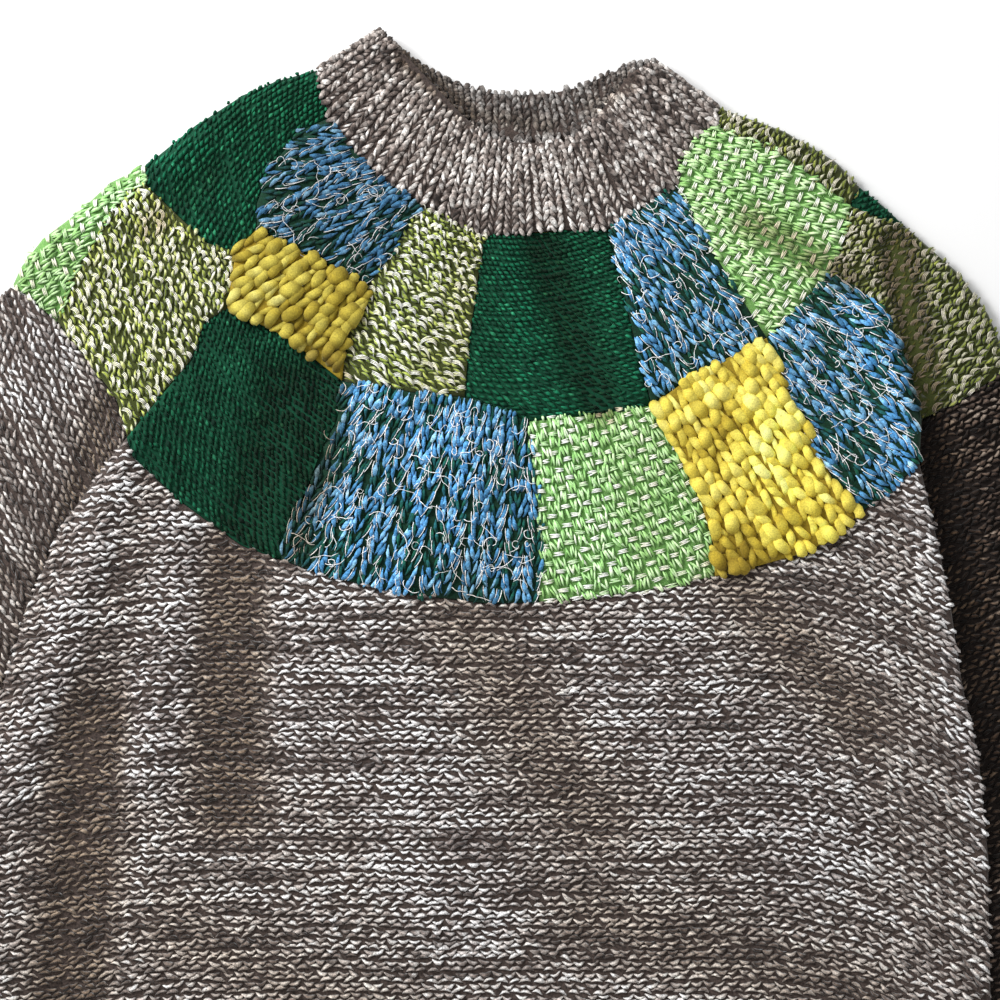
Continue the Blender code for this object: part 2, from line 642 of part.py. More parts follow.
def collar_row(front, back, rise):
    """Outer and inner ring of the collar at one height, right round from its left fold."""
    under = FRONT_BASE + COLLAR_RISE * rise
    top = under + COLLAR_WALL
    middle = top / 2.0
    reach = 1.0 - 2.0 * COLLAR_MARGIN
    outer, inner = [], []
    for i, (x, y) in enumerate(front):
        share = i / (len(front) - 1)
        roll = rounded(min(share, 1.0 - share), COLLAR_FOLD)
        outer.append((x, y, middle + (top - middle + RIB_RISE * (i % 2)) * roll))
        inner.append((*along(front, COLLAR_MARGIN + share * reach), middle + (under - middle) * roll))
    for share, (x, y) in zip(COLLAR_BACK_SHARES, back[::-1]):
        outer.append((x, y, 0.0))
        inner.append((*along(back[::-1], COLLAR_MARGIN + share * reach), COLLAR_BACK))
    return outer, inner


def centre():
    """Move every piece so that the origin is the middle of the underside."""
    objects = bpy.data.collections[COLLECTION].objects
    low = Vector((1e9, 1e9, 1e9))
    high = -low
    for obj in objects:
        for vert in obj.data.vertices:
            low = Vector(map(min, low, vert.co))
            high = Vector(map(max, high, vert.co))
    shift = Vector((-(low.x + high.x) / 2.0, -(low.y + high.y) / 2.0, -low.z))
    for obj in objects:
        for vert in obj.data.vertices:
            vert.co += shift


def build():
    """Model the whole sweater."""
    for obj in list(bpy.data.objects):
        bpy.data.objects.remove(obj, do_unlink=True)
    group = bpy.data.collections.new(COLLECTION)
    bpy.context.scene.collection.children.link(group)
    SEAMS["hem"] = ("hem_left", [], "hem_right")
    for name, yarn, lifted, seams in BLOCKS:
        on_edge = any("fold" in word or word == "-arm_c" for word in seams.split())
        rows = FOLD_ROWS if on_edge else (SEAM_DIP_WIDTH,)
        front_piece(name, yarn, seams, lifted, BLOCK_SPACING, rows)
    back_yoke()
    body()
    hem()
    left_line = outline("arm_a arm_b") + [CORNERS["low_2"]]
    right_line = outline("arm_d") + [CORNERS["low_8"], RIGHT_SLEEVE_TIP]
    sleeve("sleeve_left", [add(p, LEFT_SEAM_GAP) for p in left_line], LEFT_SLEEVE, 1)
    sleeve("sleeve_right", [add(p, RIGHT_SEAM_GAP) for p in right_line], RIGHT_SLEEVE, -1)
    cuff("cuff_left", LEFT_CUFF, 1)
    cuff("cuff_right", RIGHT_CUFF, -1)
    collar()
    centre()


build()
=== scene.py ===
"""Looks of a darned wool sweater with a patchwork yoke, laid flat on its back.

Every knitted piece is a thin wall on its solid's form with the creases laid in, and over
it lie the stitches themselves: short lengths of yarn, each with its own thickness and colour.
Lengths in the tables are millimetres. Places are on the flat garment as it is seen from above.
The creases also paint light on their ridges and shade in their troughs into the stitches' colours.
"""

import logging
import math
from dataclasses import dataclass, field
from enum import Enum

import bmesh
import bpy
import numpy as np
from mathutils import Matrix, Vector
from mathutils.bvhtree import BVHTree


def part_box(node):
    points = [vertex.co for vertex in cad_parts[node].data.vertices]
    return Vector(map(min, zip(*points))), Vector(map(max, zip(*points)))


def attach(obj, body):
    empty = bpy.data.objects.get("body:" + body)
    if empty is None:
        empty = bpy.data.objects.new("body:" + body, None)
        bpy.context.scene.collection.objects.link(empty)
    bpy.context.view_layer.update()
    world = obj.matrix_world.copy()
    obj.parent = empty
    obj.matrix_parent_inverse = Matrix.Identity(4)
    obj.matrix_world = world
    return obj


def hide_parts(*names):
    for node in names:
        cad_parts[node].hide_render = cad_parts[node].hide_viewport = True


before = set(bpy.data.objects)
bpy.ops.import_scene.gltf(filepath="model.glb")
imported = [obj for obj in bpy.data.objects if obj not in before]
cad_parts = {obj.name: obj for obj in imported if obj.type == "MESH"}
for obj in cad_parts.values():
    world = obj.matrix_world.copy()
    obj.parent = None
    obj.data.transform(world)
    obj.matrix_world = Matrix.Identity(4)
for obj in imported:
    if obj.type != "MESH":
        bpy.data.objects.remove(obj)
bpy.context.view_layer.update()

LOG = logging.getLogger("sweater")

MM = 0.001
BODY = "root"
SURFACE = "surface"       # what the sweater lies on
COURSE_SEED = 50          # keeps the draws of a piece's stretches apart
DRIFT_SEED = 500          # and those of its slow variation
YARN_AND_SHADE_COLOUR = "yarn"      # name of the colours that the stitches carry: the yarn's own, with painted light and shade

# The view: the photograph covers this square of the garment
VIEW_WIDTH = 620.0
VIEW_MIDDLE = (3.9, 78.4)
VIEW_HEIGHT = 9.0         # height at which the square is measured, about the yoke's
LENS = 100.0
SENSOR = 36.0

NECK = (15.0, 324.0)      # middle of the neck's opening, where the yoke's columns point to

# How a piece's height is read from its solid
GRID = 2.5                # spacing of the height grids
GRID_MARGIN = 5           # cells round a grid
SMOOTH_CELLS = 2          # how far a grid's facets are blended
RAY_HEIGHT = 100.0        # where the rays start that look for the upper face
ON_TOP = 0.6              # how near the upper face a corner of the wall counts as on it
ON_FLOOR = 0.05           # below this a corner lies on the surface and stays there

# Walls
SHELL_STEP = 9.0          # longest edge of a wall's faces under stitches
PLAIN_STEP = 36.0         # the same for a hidden back piece without stitches
CUTS = 3                  # how often a long edge is halved at most
YARN_SINK = 0.5           # how far a wall's face lies below the stitches' middle

# Ends of the lengths of yarn
EDGE_TUCK = 0.15          # how much of a stitch's step is left past its piece's edge
EDGE_THIN = 0.8           # thickness that it keeps there
RIM_WRAP = 2.2            # how far the collar's ribs run over its rim
SEAM_OVERLAP = 0.5        # and past its seam
TWIST = 1.3               # turn of the plies from ring to ring, in radians
PHASE_HASH = (12.9898, 43758.5453)    # spreads the plies' first turns over all lengths

# Creases
CREASE_REACH = 1.6        # how far a crease is felt, over its half width
CREASE_FLOOR = 4.0        # a face this high or lower has no crease, so it can't sink through
CREASE_ROOM = 6.0         # and over this much more height the creases grow to their full depth
CREASE_SHADE = 0.23       # painted light and shade: how much a millimetre of a crease's rise lightens the wool's colour, and of its depth darkens it
SHADE_LIMITS = (0.3, 1.25)
WARM_SHADE = (0.9, 1.08, 1.3)     # red, green and blue of the painted shade in a fold fall by these powers

# Creases, given one by one: x and y of both ends, half width, rise (below zero is a trough)
# A crease's rise also paints light on a ridge and shade in a trough into the yarn's colour
CREASES = (
    (-226.0, 112.0, -262.0, 5.0, 11.0, 4.5),
    (-262.0, 5.0, -300.0, -105.0, 12.0, 4.5),
    (248.0, 152.0, 281.0, 10.0, 11.0, 4.0),
    (281.0, 10.0, 310.0, -145.0, 12.0, 4.0),
    (-128.0, 150.0, -160.0, 45.0, 17.0, -4.2),
    (-162.0, 45.0, -164.0, -110.0, 24.0, -4.0),
    (-108.0, 155.0, -118.0, 50.0, 18.0, -4.2),
    (250.0, 235.0, 268.0, 140.0, 13.0, -6.0),
    (-190.0, 60.0, -215.0, -90.0, 16.0, 3.4),
    (-105.0, 60.0, -118.0, -60.0, 24.0, 2.2),
    (30.0, 235.0, 66.0, 138.0, 13.0, -4.0),
    (8.0, 230.0, 28.0, 140.0, 10.0, 1.8),
    (80.0, 220.0, 92.0, 150.0, 10.0, 1.4),
    (-248.0, -60.0, -264.0, -230.0, 26.0, -4.4),
    (236.0, 190.0, 250.0, 150.0, 14.0, 3.0),
    (-95.0, -10.0, -20.0, -170.0, 34.0, 2.2),
    (-30.0, 20.0, 60.0, -120.0, 26.0, -1.8),
    (90.0, -30.0, 200.0, -130.0, 34.0, 2.4),
    (150.0, 30.0, 230.0, -60.0, 20.0, -2.2),
    (-40.0, 240.0, -70.0, 150.0, 16.0, 1.6),
    (160.0, 250.0, 220.0, 215.0, 12.0, -2.4),
    (-190.0, 300.0, -250.0, 250.0, 12.0, 1.8),
    (-170.0, 285.0, -215.0, 245.0, 9.0, -1.6),
    (40.0, 120.0, 60.0, 40.0, 22.0, 1.8),
    (170.0, 120.0, 190.0, 60.0, 20.0, 1.8),
    (-30.0, 110.0, -50.0, 30.0, 22.0, 1.6),
    (60.0, -180.0, 230.0, -230.0, 26.0, -1.6),
    (-200.0, -190.0, -60.0, -250.0, 26.0, -1.5),
)

# Creases of the sleeves, in the same columns
SLEEVE_CREASES = (
    (-238.0, 135.0, -268.0, 40.0, 13.0, -4.5),
    (-270.0, 35.0, -318.0, -100.0, 14.0, -4.0),
    (258.0, 170.0, 296.0, 20.0, 14.0, -4.5),
    (296.0, 15.0, 330.0, -140.0, 14.0, -4.0),
    (-262.0, 250.0, -285.0, 150.0, 18.0, 3.0),
    (285.0, 230.0, 300.0, 150.0, 18.0, 2.5),
    (-330.0, 60.0, -300.0, 30.0, 10.0, -1.6),
    (-390.0, -20.0, -330.0, -50.0, 10.0, -1.4),
    (-410.0, -120.0, -350.0, -140.0, 12.0, 1.4),
    (-420.0, -220.0, -350.0, -205.0, 10.0, -1.4),
    (340.0, 60.0, 300.0, 20.0, 11.0, -1.6),
    (390.0, -30.0, 330.0, -60.0, 10.0, 1.5),
    (405.0, -130.0, 340.0, -150.0, 10.0, -1.5),
    (415.0, -230.0, 350.0, -215.0, 12.0, 1.4),
)

# Creases of the collar, in the same columns: troughs that paint shade on the inside where the front
# folds over it
COLLAR_CREASES = (
    (-55.0, 352.0, -14.0, 317.0, 7.0, -3.2),
    (-14.0, 317.0, 34.0, 311.0, 6.0, -1.8),
    (62.0, 322.0, 84.0, 338.0, 7.0, -1.6),
)


def linear(code: str) -> np.ndarray:
    """Turn an sRGB hex value into linear light.

    Args:
        code: the colour, such as "#7d8a35".

    Returns:
        Three numbers from 0 to 1.
    """
    value = np.array([int(code[i: i + 2], 16) for i in (1, 3, 5)]) / 255.0
    return np.where(value <= 0.04045, value / 12.92, ((value + 0.055) / 1.055) ** 2.4)


def ease(value: np.ndarray) -> np.ndarray:
    """Ease from 0 to 1 while the value goes from 0 to 1.

    Args:
        value: numbers, clipped to that range.

    Returns:
        The eased numbers.
    """
    value = np.clip(value, 0.0, 1.0)
    return value * value * (3.0 - 2.0 * value)


class Drift:
    """Smooth random variation over the plane, from a lattice of random numbers."""

    SIZE = 64

    def __init__(self, seed: int) -> None:
        """Fill the lattice.

        Args:
            seed: which variation it is.
        """
        self.table = np.random.default_rng(seed).random((self.SIZE, self.SIZE))

    def __call__(self, x: np.ndarray, y: np.ndarray) -> np.ndarray:
        """Read the variation.

        Args:
            x: places across, in lattice cells.
            y: places along, in lattice cells.

        Returns:
            Numbers from 0 to 1.
        """
        x0, y0 = np.floor(x).astype(int), np.floor(y).astype(int)
        fx, fy = ease(x - x0), ease(y - y0)
        x0, y0 = x0 % self.SIZE, y0 % self.SIZE
        x1, y1 = (x0 + 1) % self.SIZE, (y0 + 1) % self.SIZE
        low = self.table[y0, x0] * (1 - fx) + self.table[y0, x1] * fx
        high = self.table[y1, x0] * (1 - fx) + self.table[y1, x1] * fx
        return low * (1 - fy) + high * fy


def line_distance(x: np.ndarray, y: np.ndarray, line: tuple[float, ...]) -> np.ndarray:
    """Distance of points from a straight stretch.

    Args:
        x: places across.
        y: places up.
        line: x and y of both ends.

    Returns:
        The distances.
    """
    x0, y0, x1, y1 = line
    dx, dy = x1 - x0, y1 - y0
    share = np.clip(((x - x0) * dx + (y - y0) * dy) / (dx * dx + dy * dy), 0.0, 1.0)
    return np.hypot(x - x0 - share * dx, y - y0 - share * dy)


def crease_rise(x: np.ndarray, y: np.ndarray, creases: tuple) -> np.ndarray:
    """Rise of the hand-laid creases.

    Args:
        x: places across.
        y: places up.
        creases: a table of creases.

    Returns:
        Rises in millimetres.
    """
    ridge, trough = np.zeros(np.shape(x)), np.zeros(np.shape(x))
    for *line, half_width, height in creases:
        rise = height * ease(1.0 - line_distance(x, y, tuple(line)) / (CREASE_REACH * half_width))
        ridge, trough = np.maximum(ridge, rise), np.minimum(trough, rise)
    return ridge + trough


class Lay:
    """How one piece of the garment lies: its outline and its upper face's heights."""

    def __init__(self, node: str, creases: tuple, wrap: int = 0) -> None:
        """Read a solid's upper face on a grid and lay the creases into it.

        Args:
            node: the solid's name.
            creases: the table of creases that cross this piece.
            wrap: cells by which high edges are widened, so stitches wrap over them.
        """
        self.node = node
        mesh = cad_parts[node].data
        verts = [v.co / MM for v in mesh.vertices]
        faces = [tuple(p.vertices) for p in mesh.polygons]
        self.tree = BVHTree.FromPolygons(verts, faces)
        low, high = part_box(node)
        self.low, self.high = np.array(low) / MM, np.array(high) / MM
        self.x0 = self.low[0] - GRID * GRID_MARGIN
        self.y0 = self.low[1] - GRID * GRID_MARGIN
        columns = int((self.high[0] - self.x0) / GRID) + GRID_MARGIN + 2
        rows = int((self.high[1] - self.y0) / GRID) + GRID_MARGIN + 2
        grid = np.full((rows, columns), np.nan)
        for j in range(rows):
            for i in range(columns):
                start = (self.x0 + i * GRID, self.y0 + j * GRID, RAY_HEIGHT)
                hit = self.tree.ray_cast(Vector(start), Vector((0.0, 0.0, -1.0)))[0]
                if hit is not None:
                    grid[j, i] = hit.z
        self.mask = ~np.isnan(grid)
        self.raw = self.filled(grid)
        grid = self.raw
        for _ in range(wrap):
            grid = np.max(self.neighbours(grid, "edge"), axis=0)
        self.grid = self.blurred(grid)
        self.creases = creases

    @staticmethod
    def neighbours(grid: np.ndarray, outside: str) -> np.ndarray:
        """Stack a grid with its eight neighbours.

        Args:
            grid: heights.
            outside: "edge" for a rim that goes on, "constant" for one with nothing round it.

        Returns:
            Nine grids, each moved by one cell at most.
        """
        rows, columns = grid.shape
        empty = {"constant_values": np.nan} if outside == "constant" else {}
        wide = np.pad(grid, 1, mode=outside, **empty)
        return np.stack([wide[1 + j: 1 + j + rows, 1 + i: 1 + i + columns]
                         for j in (-1, 0, 1) for i in (-1, 0, 1)])

    @staticmethod
    def filled(grid: np.ndarray) -> np.ndarray:
        """Spread the heights outwards over the empty cells.

        Args:
            grid: heights, with gaps where there is no cloth.

        Returns:
            Heights without gaps.
        """
        grid = grid.copy()
        while np.isnan(grid).any():
            near = Lay.neighbours(grid, "constant")
            known = ~np.isnan(near)
            total = np.where(known, near, 0.0).sum(0)
            count = known.sum(0)
            gap = np.isnan(grid) & (count > 0)
            grid[gap] = total[gap] / count[gap]
        return grid

    @staticmethod
    def blurred(grid: np.ndarray) -> np.ndarray:
        """Blend the facets of a grid away.

        Args:
            grid: heights.

        Returns:
            Softer heights.
        """
        for _ in range(SMOOTH_CELLS):
            wide = np.pad(grid, 1, mode="edge")
            across = (wide[1:-1, :-2] + 2 * wide[1:-1, 1:-1] + wide[1:-1, 2:]) / 4
            wide = np.pad(across, 1, mode="edge")
            grid = (wide[:-2, 1:-1] + 2 * wide[1:-1, 1:-1] + wide[2:, 1:-1]) / 4
        return grid

    def read(self, grid: np.ndarray, x: np.ndarray, y: np.ndarray) -> np.ndarray:
        """Read a grid between its points.

        Args:
            grid: the grid.
            x: places across.
            y: places up.

        Returns:
            The values there.
        """
        u = np.clip((x - self.x0) / GRID, 0, grid.shape[1] - 1.001)
        v = np.clip((y - self.y0) / GRID, 0, grid.shape[0] - 1.001)
        i, j = u.astype(int), v.astype(int)
        fu, fv = u - i, v - j
        low = grid[j, i] * (1 - fu) + grid[j, i + 1] * fu
        high = grid[j + 1, i] * (1 - fu) + grid[j + 1, i + 1] * fu
        return low * (1 - fv) + high * fv

    def rise(self, x: np.ndarray, y: np.ndarray) -> np.ndarray:
        """How far the creases lift the cloth, never below what carries it.

        Args:
            x: places across.
            y: places up.

        Returns:
            Rises in millimetres.
        """
        room = np.clip((self.read(self.grid, x, y) - CREASE_FLOOR) / CREASE_ROOM, 0.0, 1.0)
        return crease_rise(x, y, self.creases) * room

    def height(self, x: np.ndarray, y: np.ndarray) -> np.ndarray:
        """Height of the upper face, creases included.

        Args:
            x: places across.
            y: places up.

        Returns:
            Heights in millimetres.
        """
        return self.read(self.grid, x, y) + self.rise(x, y)

    def covers(self, x: np.ndarray, y: np.ndarray, reach: float = 0.0) -> np.ndarray:
        """Whether the piece lies under points.

        Args:
            x: places across.
            y: places up.
            reach: how far past its outline still counts.

        Returns:
            True or false for each point.
        """
        covered = self.mask.astype(float)
        hit = self.read(covered, x, y) >= 0.5
        if reach > 0.0:
            for turn in range(8):
                angle = turn * math.pi / 4
                beside = self.read(covered, x + reach * math.cos(angle),
                                   y + reach * math.sin(angle))
                hit |= beside >= 0.5
        return hit


@dataclass(frozen=True)
class Field:
    """Directions of rows and columns over one piece of knitting.

    A place in it is (s, t): s runs along the row and t down the column, away from the neck.
    """

    middle: tuple[float, float]
    radius: float                 # distance from the point where the columns meet
    down: float                   # direction of a column, in radians
    sag: tuple[float, float] = (0.0, 0.0)   # how far rows drop at the left and right sides
    level: float = 150.0          # half width over which rows don't drop
    slope: float = 100.0          # distance past that at which they have dropped by the sag
    inward: float = 0.85          # how much of the way to their meeting point columns run

    def place(self, s: np.ndarray, t: np.ndarray) -> tuple[np.ndarray, np.ndarray]:
        """Where (s, t) lies on the garment.

        Args:
            s: places along the row.
            t: places down the column.

        Returns:
            x and y.
        """
        turn = self.down + s / self.radius
        reach = self.radius + t
        x = self.middle[0] - self.radius * math.cos(self.down) + reach * np.cos(turn)
        y = self.middle[1] - self.radius * math.sin(self.down) + reach * np.sin(turn)
        beyond = np.maximum(np.abs(x) - self.level, 0.0) / self.slope
        return x, y - np.where(x < 0.0, *self.sag) * beyond ** 2

    def holds(self, s: np.ndarray, t: np.ndarray) -> np.ndarray:
        """Whether places are far enough from the point where the columns meet."""
        return t > -self.inward * self.radius

    @staticmethod
    def fan(middle: tuple[float, float], spread: float = 0.75) -> "Field":
        """Columns that spread from the neck.

        Args:
            middle: middle of the piece.
            spread: 1 for columns that meet at the neck, less for more parallel ones.

        Returns:
            The field.
        """
        dx, dy = middle[0] - NECK[0], middle[1] - NECK[1]
        return Field(middle, math.hypot(dx, dy) / spread, math.atan2(dy, dx))


def polyline(points: tuple, share: np.ndarray) -> tuple[np.ndarray, np.ndarray]:
    """Points at shares of a line's length.

    Args:
        points: the line's corners.
        share: from 0 at its start to 1 at its end.

    Returns:
        x and y.
    """
    line = np.array(points)
    reach = np.concatenate([[0.0], np.cumsum(np.hypot(*np.diff(line, axis=0).T))])
    place = np.clip(share, 0.0, 1.0) * reach[-1]
    return np.interp(place, reach, line[:, 0]), np.interp(place, reach, line[:, 1])


@dataclass(frozen=True)
class Band:
    """Ribs that run between two edges of the collar, in the same places (s, t) as a Field."""

    top: tuple                    # corners of the edge where the ribs end
    bottom: tuple                 # corners of the edge where they start
    width: float                  # middle width over all ribs
    length: float                 # height of the band

    def place(self, s: np.ndarray, t: np.ndarray) -> tuple[np.ndarray, np.ndarray]:
        """Where (s, t) lies on the garment.

        Args:
            s: places along the row.
            t: places down the column.

        Returns:
            x and y.
        """
        share = s / self.width + 0.5
        drop = t / self.length + 0.5
        x0, y0 = polyline(self.top, share)
        x1, y1 = polyline(self.bottom, share)
        return x0 + (x1 - x0) * drop, y0 + (y1 - y0) * drop

    def holds(self, s: np.ndarray, t: np.ndarray) -> np.ndarray:
        """Whether places lie between the edges."""
        half = self.length * 0.5
        return (np.abs(s) < self.width * 0.5) & (t > -half - RIM_WRAP) & (t < half + SEAM_OVERLAP)


@dataclass
class Strands:
    """Many short lengths of yarn: middle lines, half thicknesses and colours."""

    points: list = field(default_factory=list)
    radii: list = field(default_factory=list)
    colours: list = field(default_factory=list)
    sides: int = 4

    def add(self, points: np.ndarray, radii: np.ndarray, colours: np.ndarray) -> None:
        """Add lengths of yarn.

        Args:
            points: (n, k, 3) millimetres.
            radii: (n, k, 2) half thickness across and up.
            colours: (n, k, 3) linear.
        """
        self.points.append(points)
        self.radii.append(np.broadcast_to(radii, (*points.shape[:2], 2)))
        self.colours.append(np.broadcast_to(colours, points.shape))

    def fit(self, lay: Lay, overhang: float, tone: float) -> None:
        """Draw lengths in where they hang off the piece, and paint light and shade into their
        colours by the creases.

        Args:
            lay: how the piece lies.
            overhang: how far past the outline a length may reach.
            tone: how light the piece is, painted light and shade over the whole piece; 1 for the
                yarn's own colours.
        """
        for i, points in enumerate(self.points):
            radii = self.radii[i].copy()
            inside = lay.covers(points[..., 0], points[..., 1], overhang)
            rings = points.shape[1]
            middle = rings // 2
            order = [(j, j - 1) for j in range(middle + 1, rings)]
            order += [(j, j + 1) for j in range(middle - 1, -1, -1)]
            for j, near in order:
                off = ~inside[:, j]
                points[off, j] = points[off, near] + EDGE_TUCK * (points[off, j] - points[off, near])
                radii[off, j] *= EDGE_THIN
            x, y = points[..., 0], points[..., 1]
            # Painted light and shade: lighter on the creases' ridges, darker and warmer in their
            # troughs, times the piece's painted lightness
            shade = np.clip(1.0 + CREASE_SHADE * crease_rise(x, y, lay.creases), *SHADE_LIMITS)
            shade = tone * shade[..., None] ** WARM_SHADE
            keep = inside[:, middle]
            self.points[i] = points[keep]
            self.radii[i] = radii[keep]
            self.colours[i] = (self.colours[i] * shade)[keep]

    def skin(self, points: np.ndarray, radii: np.ndarray, angle: np.ndarray) -> np.ndarray:
        """Set rings round the middle lines.

        Args:
            points: (n, k, 3) middle lines.
            radii: (n, k, 2) half thickness across and up.
            angle: where the corners of a ring lie.

        Returns:
            The corners, ring after ring.
        """
        ahead = np.gradient(points, axis=1)
        ahead /= np.linalg.norm(ahead, axis=2, keepdims=True) + 1e-9
        side = np.cross(ahead, np.array([0.0, 0.0, 1.0]))
        side /= np.linalg.norm(side, axis=2, keepdims=True) + 1e-9
        over = np.cross(side, ahead)
        ring = (points[:, :, None]
                + side[:, :, None] * (np.cos(angle)[:, None] * radii[:, :, None, :1])
                + over[:, :, None] * (np.sin(angle)[:, None] * radii[:, :, None, 1:]))
        return ring.reshape(-1, 3)

    def faces(self, start: int, count: int, rings: int) -> tuple[list, list]:
        """Join the rings to closed tubes.

        Args:
            start: number of the first corner.
            count: how many tubes.
            rings: rings of each tube.

        Returns:
            Four-cornered faces and the three-cornered ends of three-sided tubes.
        """
        base = start + np.arange(count)[:, None, None] * rings * self.sides
        k = np.arange(rings - 1)[:, None] * self.sides
        j = np.arange(self.sides)
        after = (j + 1) % self.sides
        quads = [np.stack([base + k + j, base + k + after, base + k + self.sides + after,
                           base + k + self.sides + j], axis=-1).reshape(-1, 4)]
        first = base[:, 0, 0][:, None]
        last = first + (rings - 1) * self.sides
        if self.sides == 3:
            return quads, [first + np.array([2, 1, 0]), last + np.array([0, 1, 2])]
        for low in range(self.sides // 2 - 1):
            cap = np.array([self.sides - 1 - low, self.sides - 2 - low, 1 + low, low])
            quads += [first + cap, last + cap[::-1]]
        return quads, []

    def mesh(self, name: str, twist: float, ply: float) -> bpy.types.Object:
        """Make one object of all the lengths, each a closed tube.

        Args:
            name: the object's name.
            twist: turns of ply for each ring, in radians.
            ply: how much lighter or darker one ply is than the other.

        Returns:
            The object.
        """
        first_corner = 0.75 if self.sides == 3 else 0.5
        angle = 2 * math.pi * (np.arange(self.sides) + first_corner) / self.sides
        corners, quads, ends, tints = [], [], [np.zeros((0, 3), int)], []
        start = 0
        for points, radii, colours in zip(self.points, self.radii, self.colours):
            count, rings = points.shape[:2]
            if count == 0:
                continue
            corners.append(self.skin(points, radii, angle))
            spread = np.modf(np.sin(np.arange(count) * PHASE_HASH[0]) * PHASE_HASH[1])[0]
            phase = (spread * 2 * math.pi)[:, None, None] + angle + twist * np.arange(rings)[:, None]
            shade = 1.0 + ply * np.sin(phase)[..., None]
            tints.append((colours[:, :, None] * shade).reshape(-1, 3))
            more_quads, more_ends = self.faces(start, count, rings)
            quads += more_quads
            ends += more_ends
            start += count * rings * self.sides
        return write_mesh(name, np.concatenate(corners) * MM, np.concatenate(quads),
                          np.concatenate(ends), np.concatenate(tints))


def write_mesh(name: str, corners: np.ndarray, quads: np.ndarray, ends: np.ndarray,
               tints: np.ndarray) -> bpy.types.Object:
    """Write a mesh with the yarn's colours, painted light and shade included, at its corners.

    Args:
        name: the object's name.
        corners: places in metres.
        quads: corner numbers of the four-cornered faces.
        ends: corner numbers of the three-cornered faces.
        tints: linear colours of the corners.

    Returns:
        The object.
    """
    mesh = bpy.data.meshes.new(name)
    mesh.vertices.add(len(corners))
    mesh.vertices.foreach_set("co", corners.astype(np.float32).ravel())
    loops = np.concatenate([quads.ravel(), ends.ravel()]).astype(np.int32)
    starts = np.concatenate([np.arange(len(quads)) * 4,
                             quads.size + np.arange(len(ends)) * 3]).astype(np.int32)
    mesh.loops.add(len(loops))
    mesh.loops.foreach_set("vertex_index", loops)
    mesh.polygons.add(len(starts))
    mesh.polygons.foreach_set("loop_start", starts)
    mesh.update(calc_edges=True)
    tint = mesh.color_attributes.new(YARN_AND_SHADE_COLOUR, "FLOAT_COLOR", "POINT")
    rgba = np.ones((len(tints), 4), np.float32)
    rgba[:, :3] = np.clip(tints, 0.0, 1.0)
    tint.data.foreach_set("color", rgba.ravel())
    mesh.shade_smooth()
    return linked(name, mesh)


def linked(name: str, data: bpy.types.ID) -> bpy.types.Object:
    """Put a mesh, light or camera into the scene.

    Args:
        name: the object's name.
        data: what the object shows.

    Returns:
        The object.
    """
    obj = bpy.data.objects.new(name, data)
    bpy.context.scene.collection.objects.link(obj)
    return obj


def add_node(tree: bpy.types.NodeTree, kind: str, links: dict | None = None,
             **settings: object) -> bpy.types.Node:
    """Add a shader node.

    Args:
        tree: the node tree.
        kind: the node's type.
        links: input name or number to a value or another node's output socket.
        settings: the node's own settings.

    Returns:
        The node.
    """
    node = tree.nodes.new(kind)
    for name, value in settings.items():
        setattr(node, name, value)
    for name, value in (links or {}).items():
        if isinstance(value, bpy.types.NodeSocket):
            tree.links.new(value, node.inputs[name])
        else:
            node.inputs[name].default_value = value
    return node


@dataclass(frozen=True)
class Wool:
    """Spun wool, the finish of every stitch: matt, a little sheen, with fibres on it.

    The eye gets a soft edge where light grazes the fibres, and specks a fibre's width apart.
    """

    name: str
    fibre: float = 0.55          # length of the specks, millimetres; real fibres are finer
    fleck: float = 0.35          # how much the specks lighten and darken
    roughness: float = 0.88
    sheen: float = 0.25
    sheen_tint: str = "#ffffff"
    bump: float = 0.35
    ior: float = 1.45            # wool's keratin is about 1.55, less for its rough scales

    def material(self, base: str = "") -> bpy.types.Material:
        """Build the material.

        Args:
            base: a plain colour in place of the yarn's own.

        Returns:
            The material.
        """
        made = bpy.data.materials.new(self.name + ("_ground" if base else ""))
        made.use_nodes = True
        tree = made.node_tree
        shader = tree.nodes["Principled BSDF"]
        place = add_node(tree, "ShaderNodeTexCoord").outputs["Object"]
        noise = add_node(tree, "ShaderNodeTexNoise",
                         {"Vector": place, "Scale": 1.0 / (self.fibre * MM), "Detail": 3.0,
                          "Roughness": 0.65})
        span = add_node(tree, "ShaderNodeMapRange",
                        {"Value": noise.outputs["Fac"], "From Min": 0.3, "From Max": 0.7,
                         "To Min": 1.0 - self.fleck, "To Max": 1.0 + self.fleck})
        if base:
            colour = add_node(tree, "ShaderNodeRGB")
            colour.outputs[0].default_value = (*linear(base), 1.0)
            tint = colour.outputs[0]
        else:
            tint = add_node(tree, "ShaderNodeVertexColor", layer_name=YARN_AND_SHADE_COLOUR).outputs["Color"]
        flecked = add_node(tree, "ShaderNodeVectorMath", {0: tint, 1: span.outputs["Result"]},
                           operation="MULTIPLY")
        bump = add_node(tree, "ShaderNodeBump",
                        {"Height": noise.outputs["Fac"], "Strength": self.bump,
                         "Distance": 0.4 * MM})
        tree.links.new(flecked.outputs["Vector"], shader.inputs["Base Color"])
        tree.links.new(bump.outputs["Normal"], shader.inputs["Normal"])
        shader.inputs["Roughness"].default_value = self.roughness
        shader.inputs["IOR"].default_value = self.ior
        shader.inputs["Specular IOR Level"].default_value = 0.3
        shader.inputs["Sheen Weight"].default_value = self.sheen
        shader.inputs["Sheen Roughness"].default_value = 0.5
        shader.inputs["Sheen Tint"].default_value = (*linear(self.sheen_tint), 1.0)
        return made


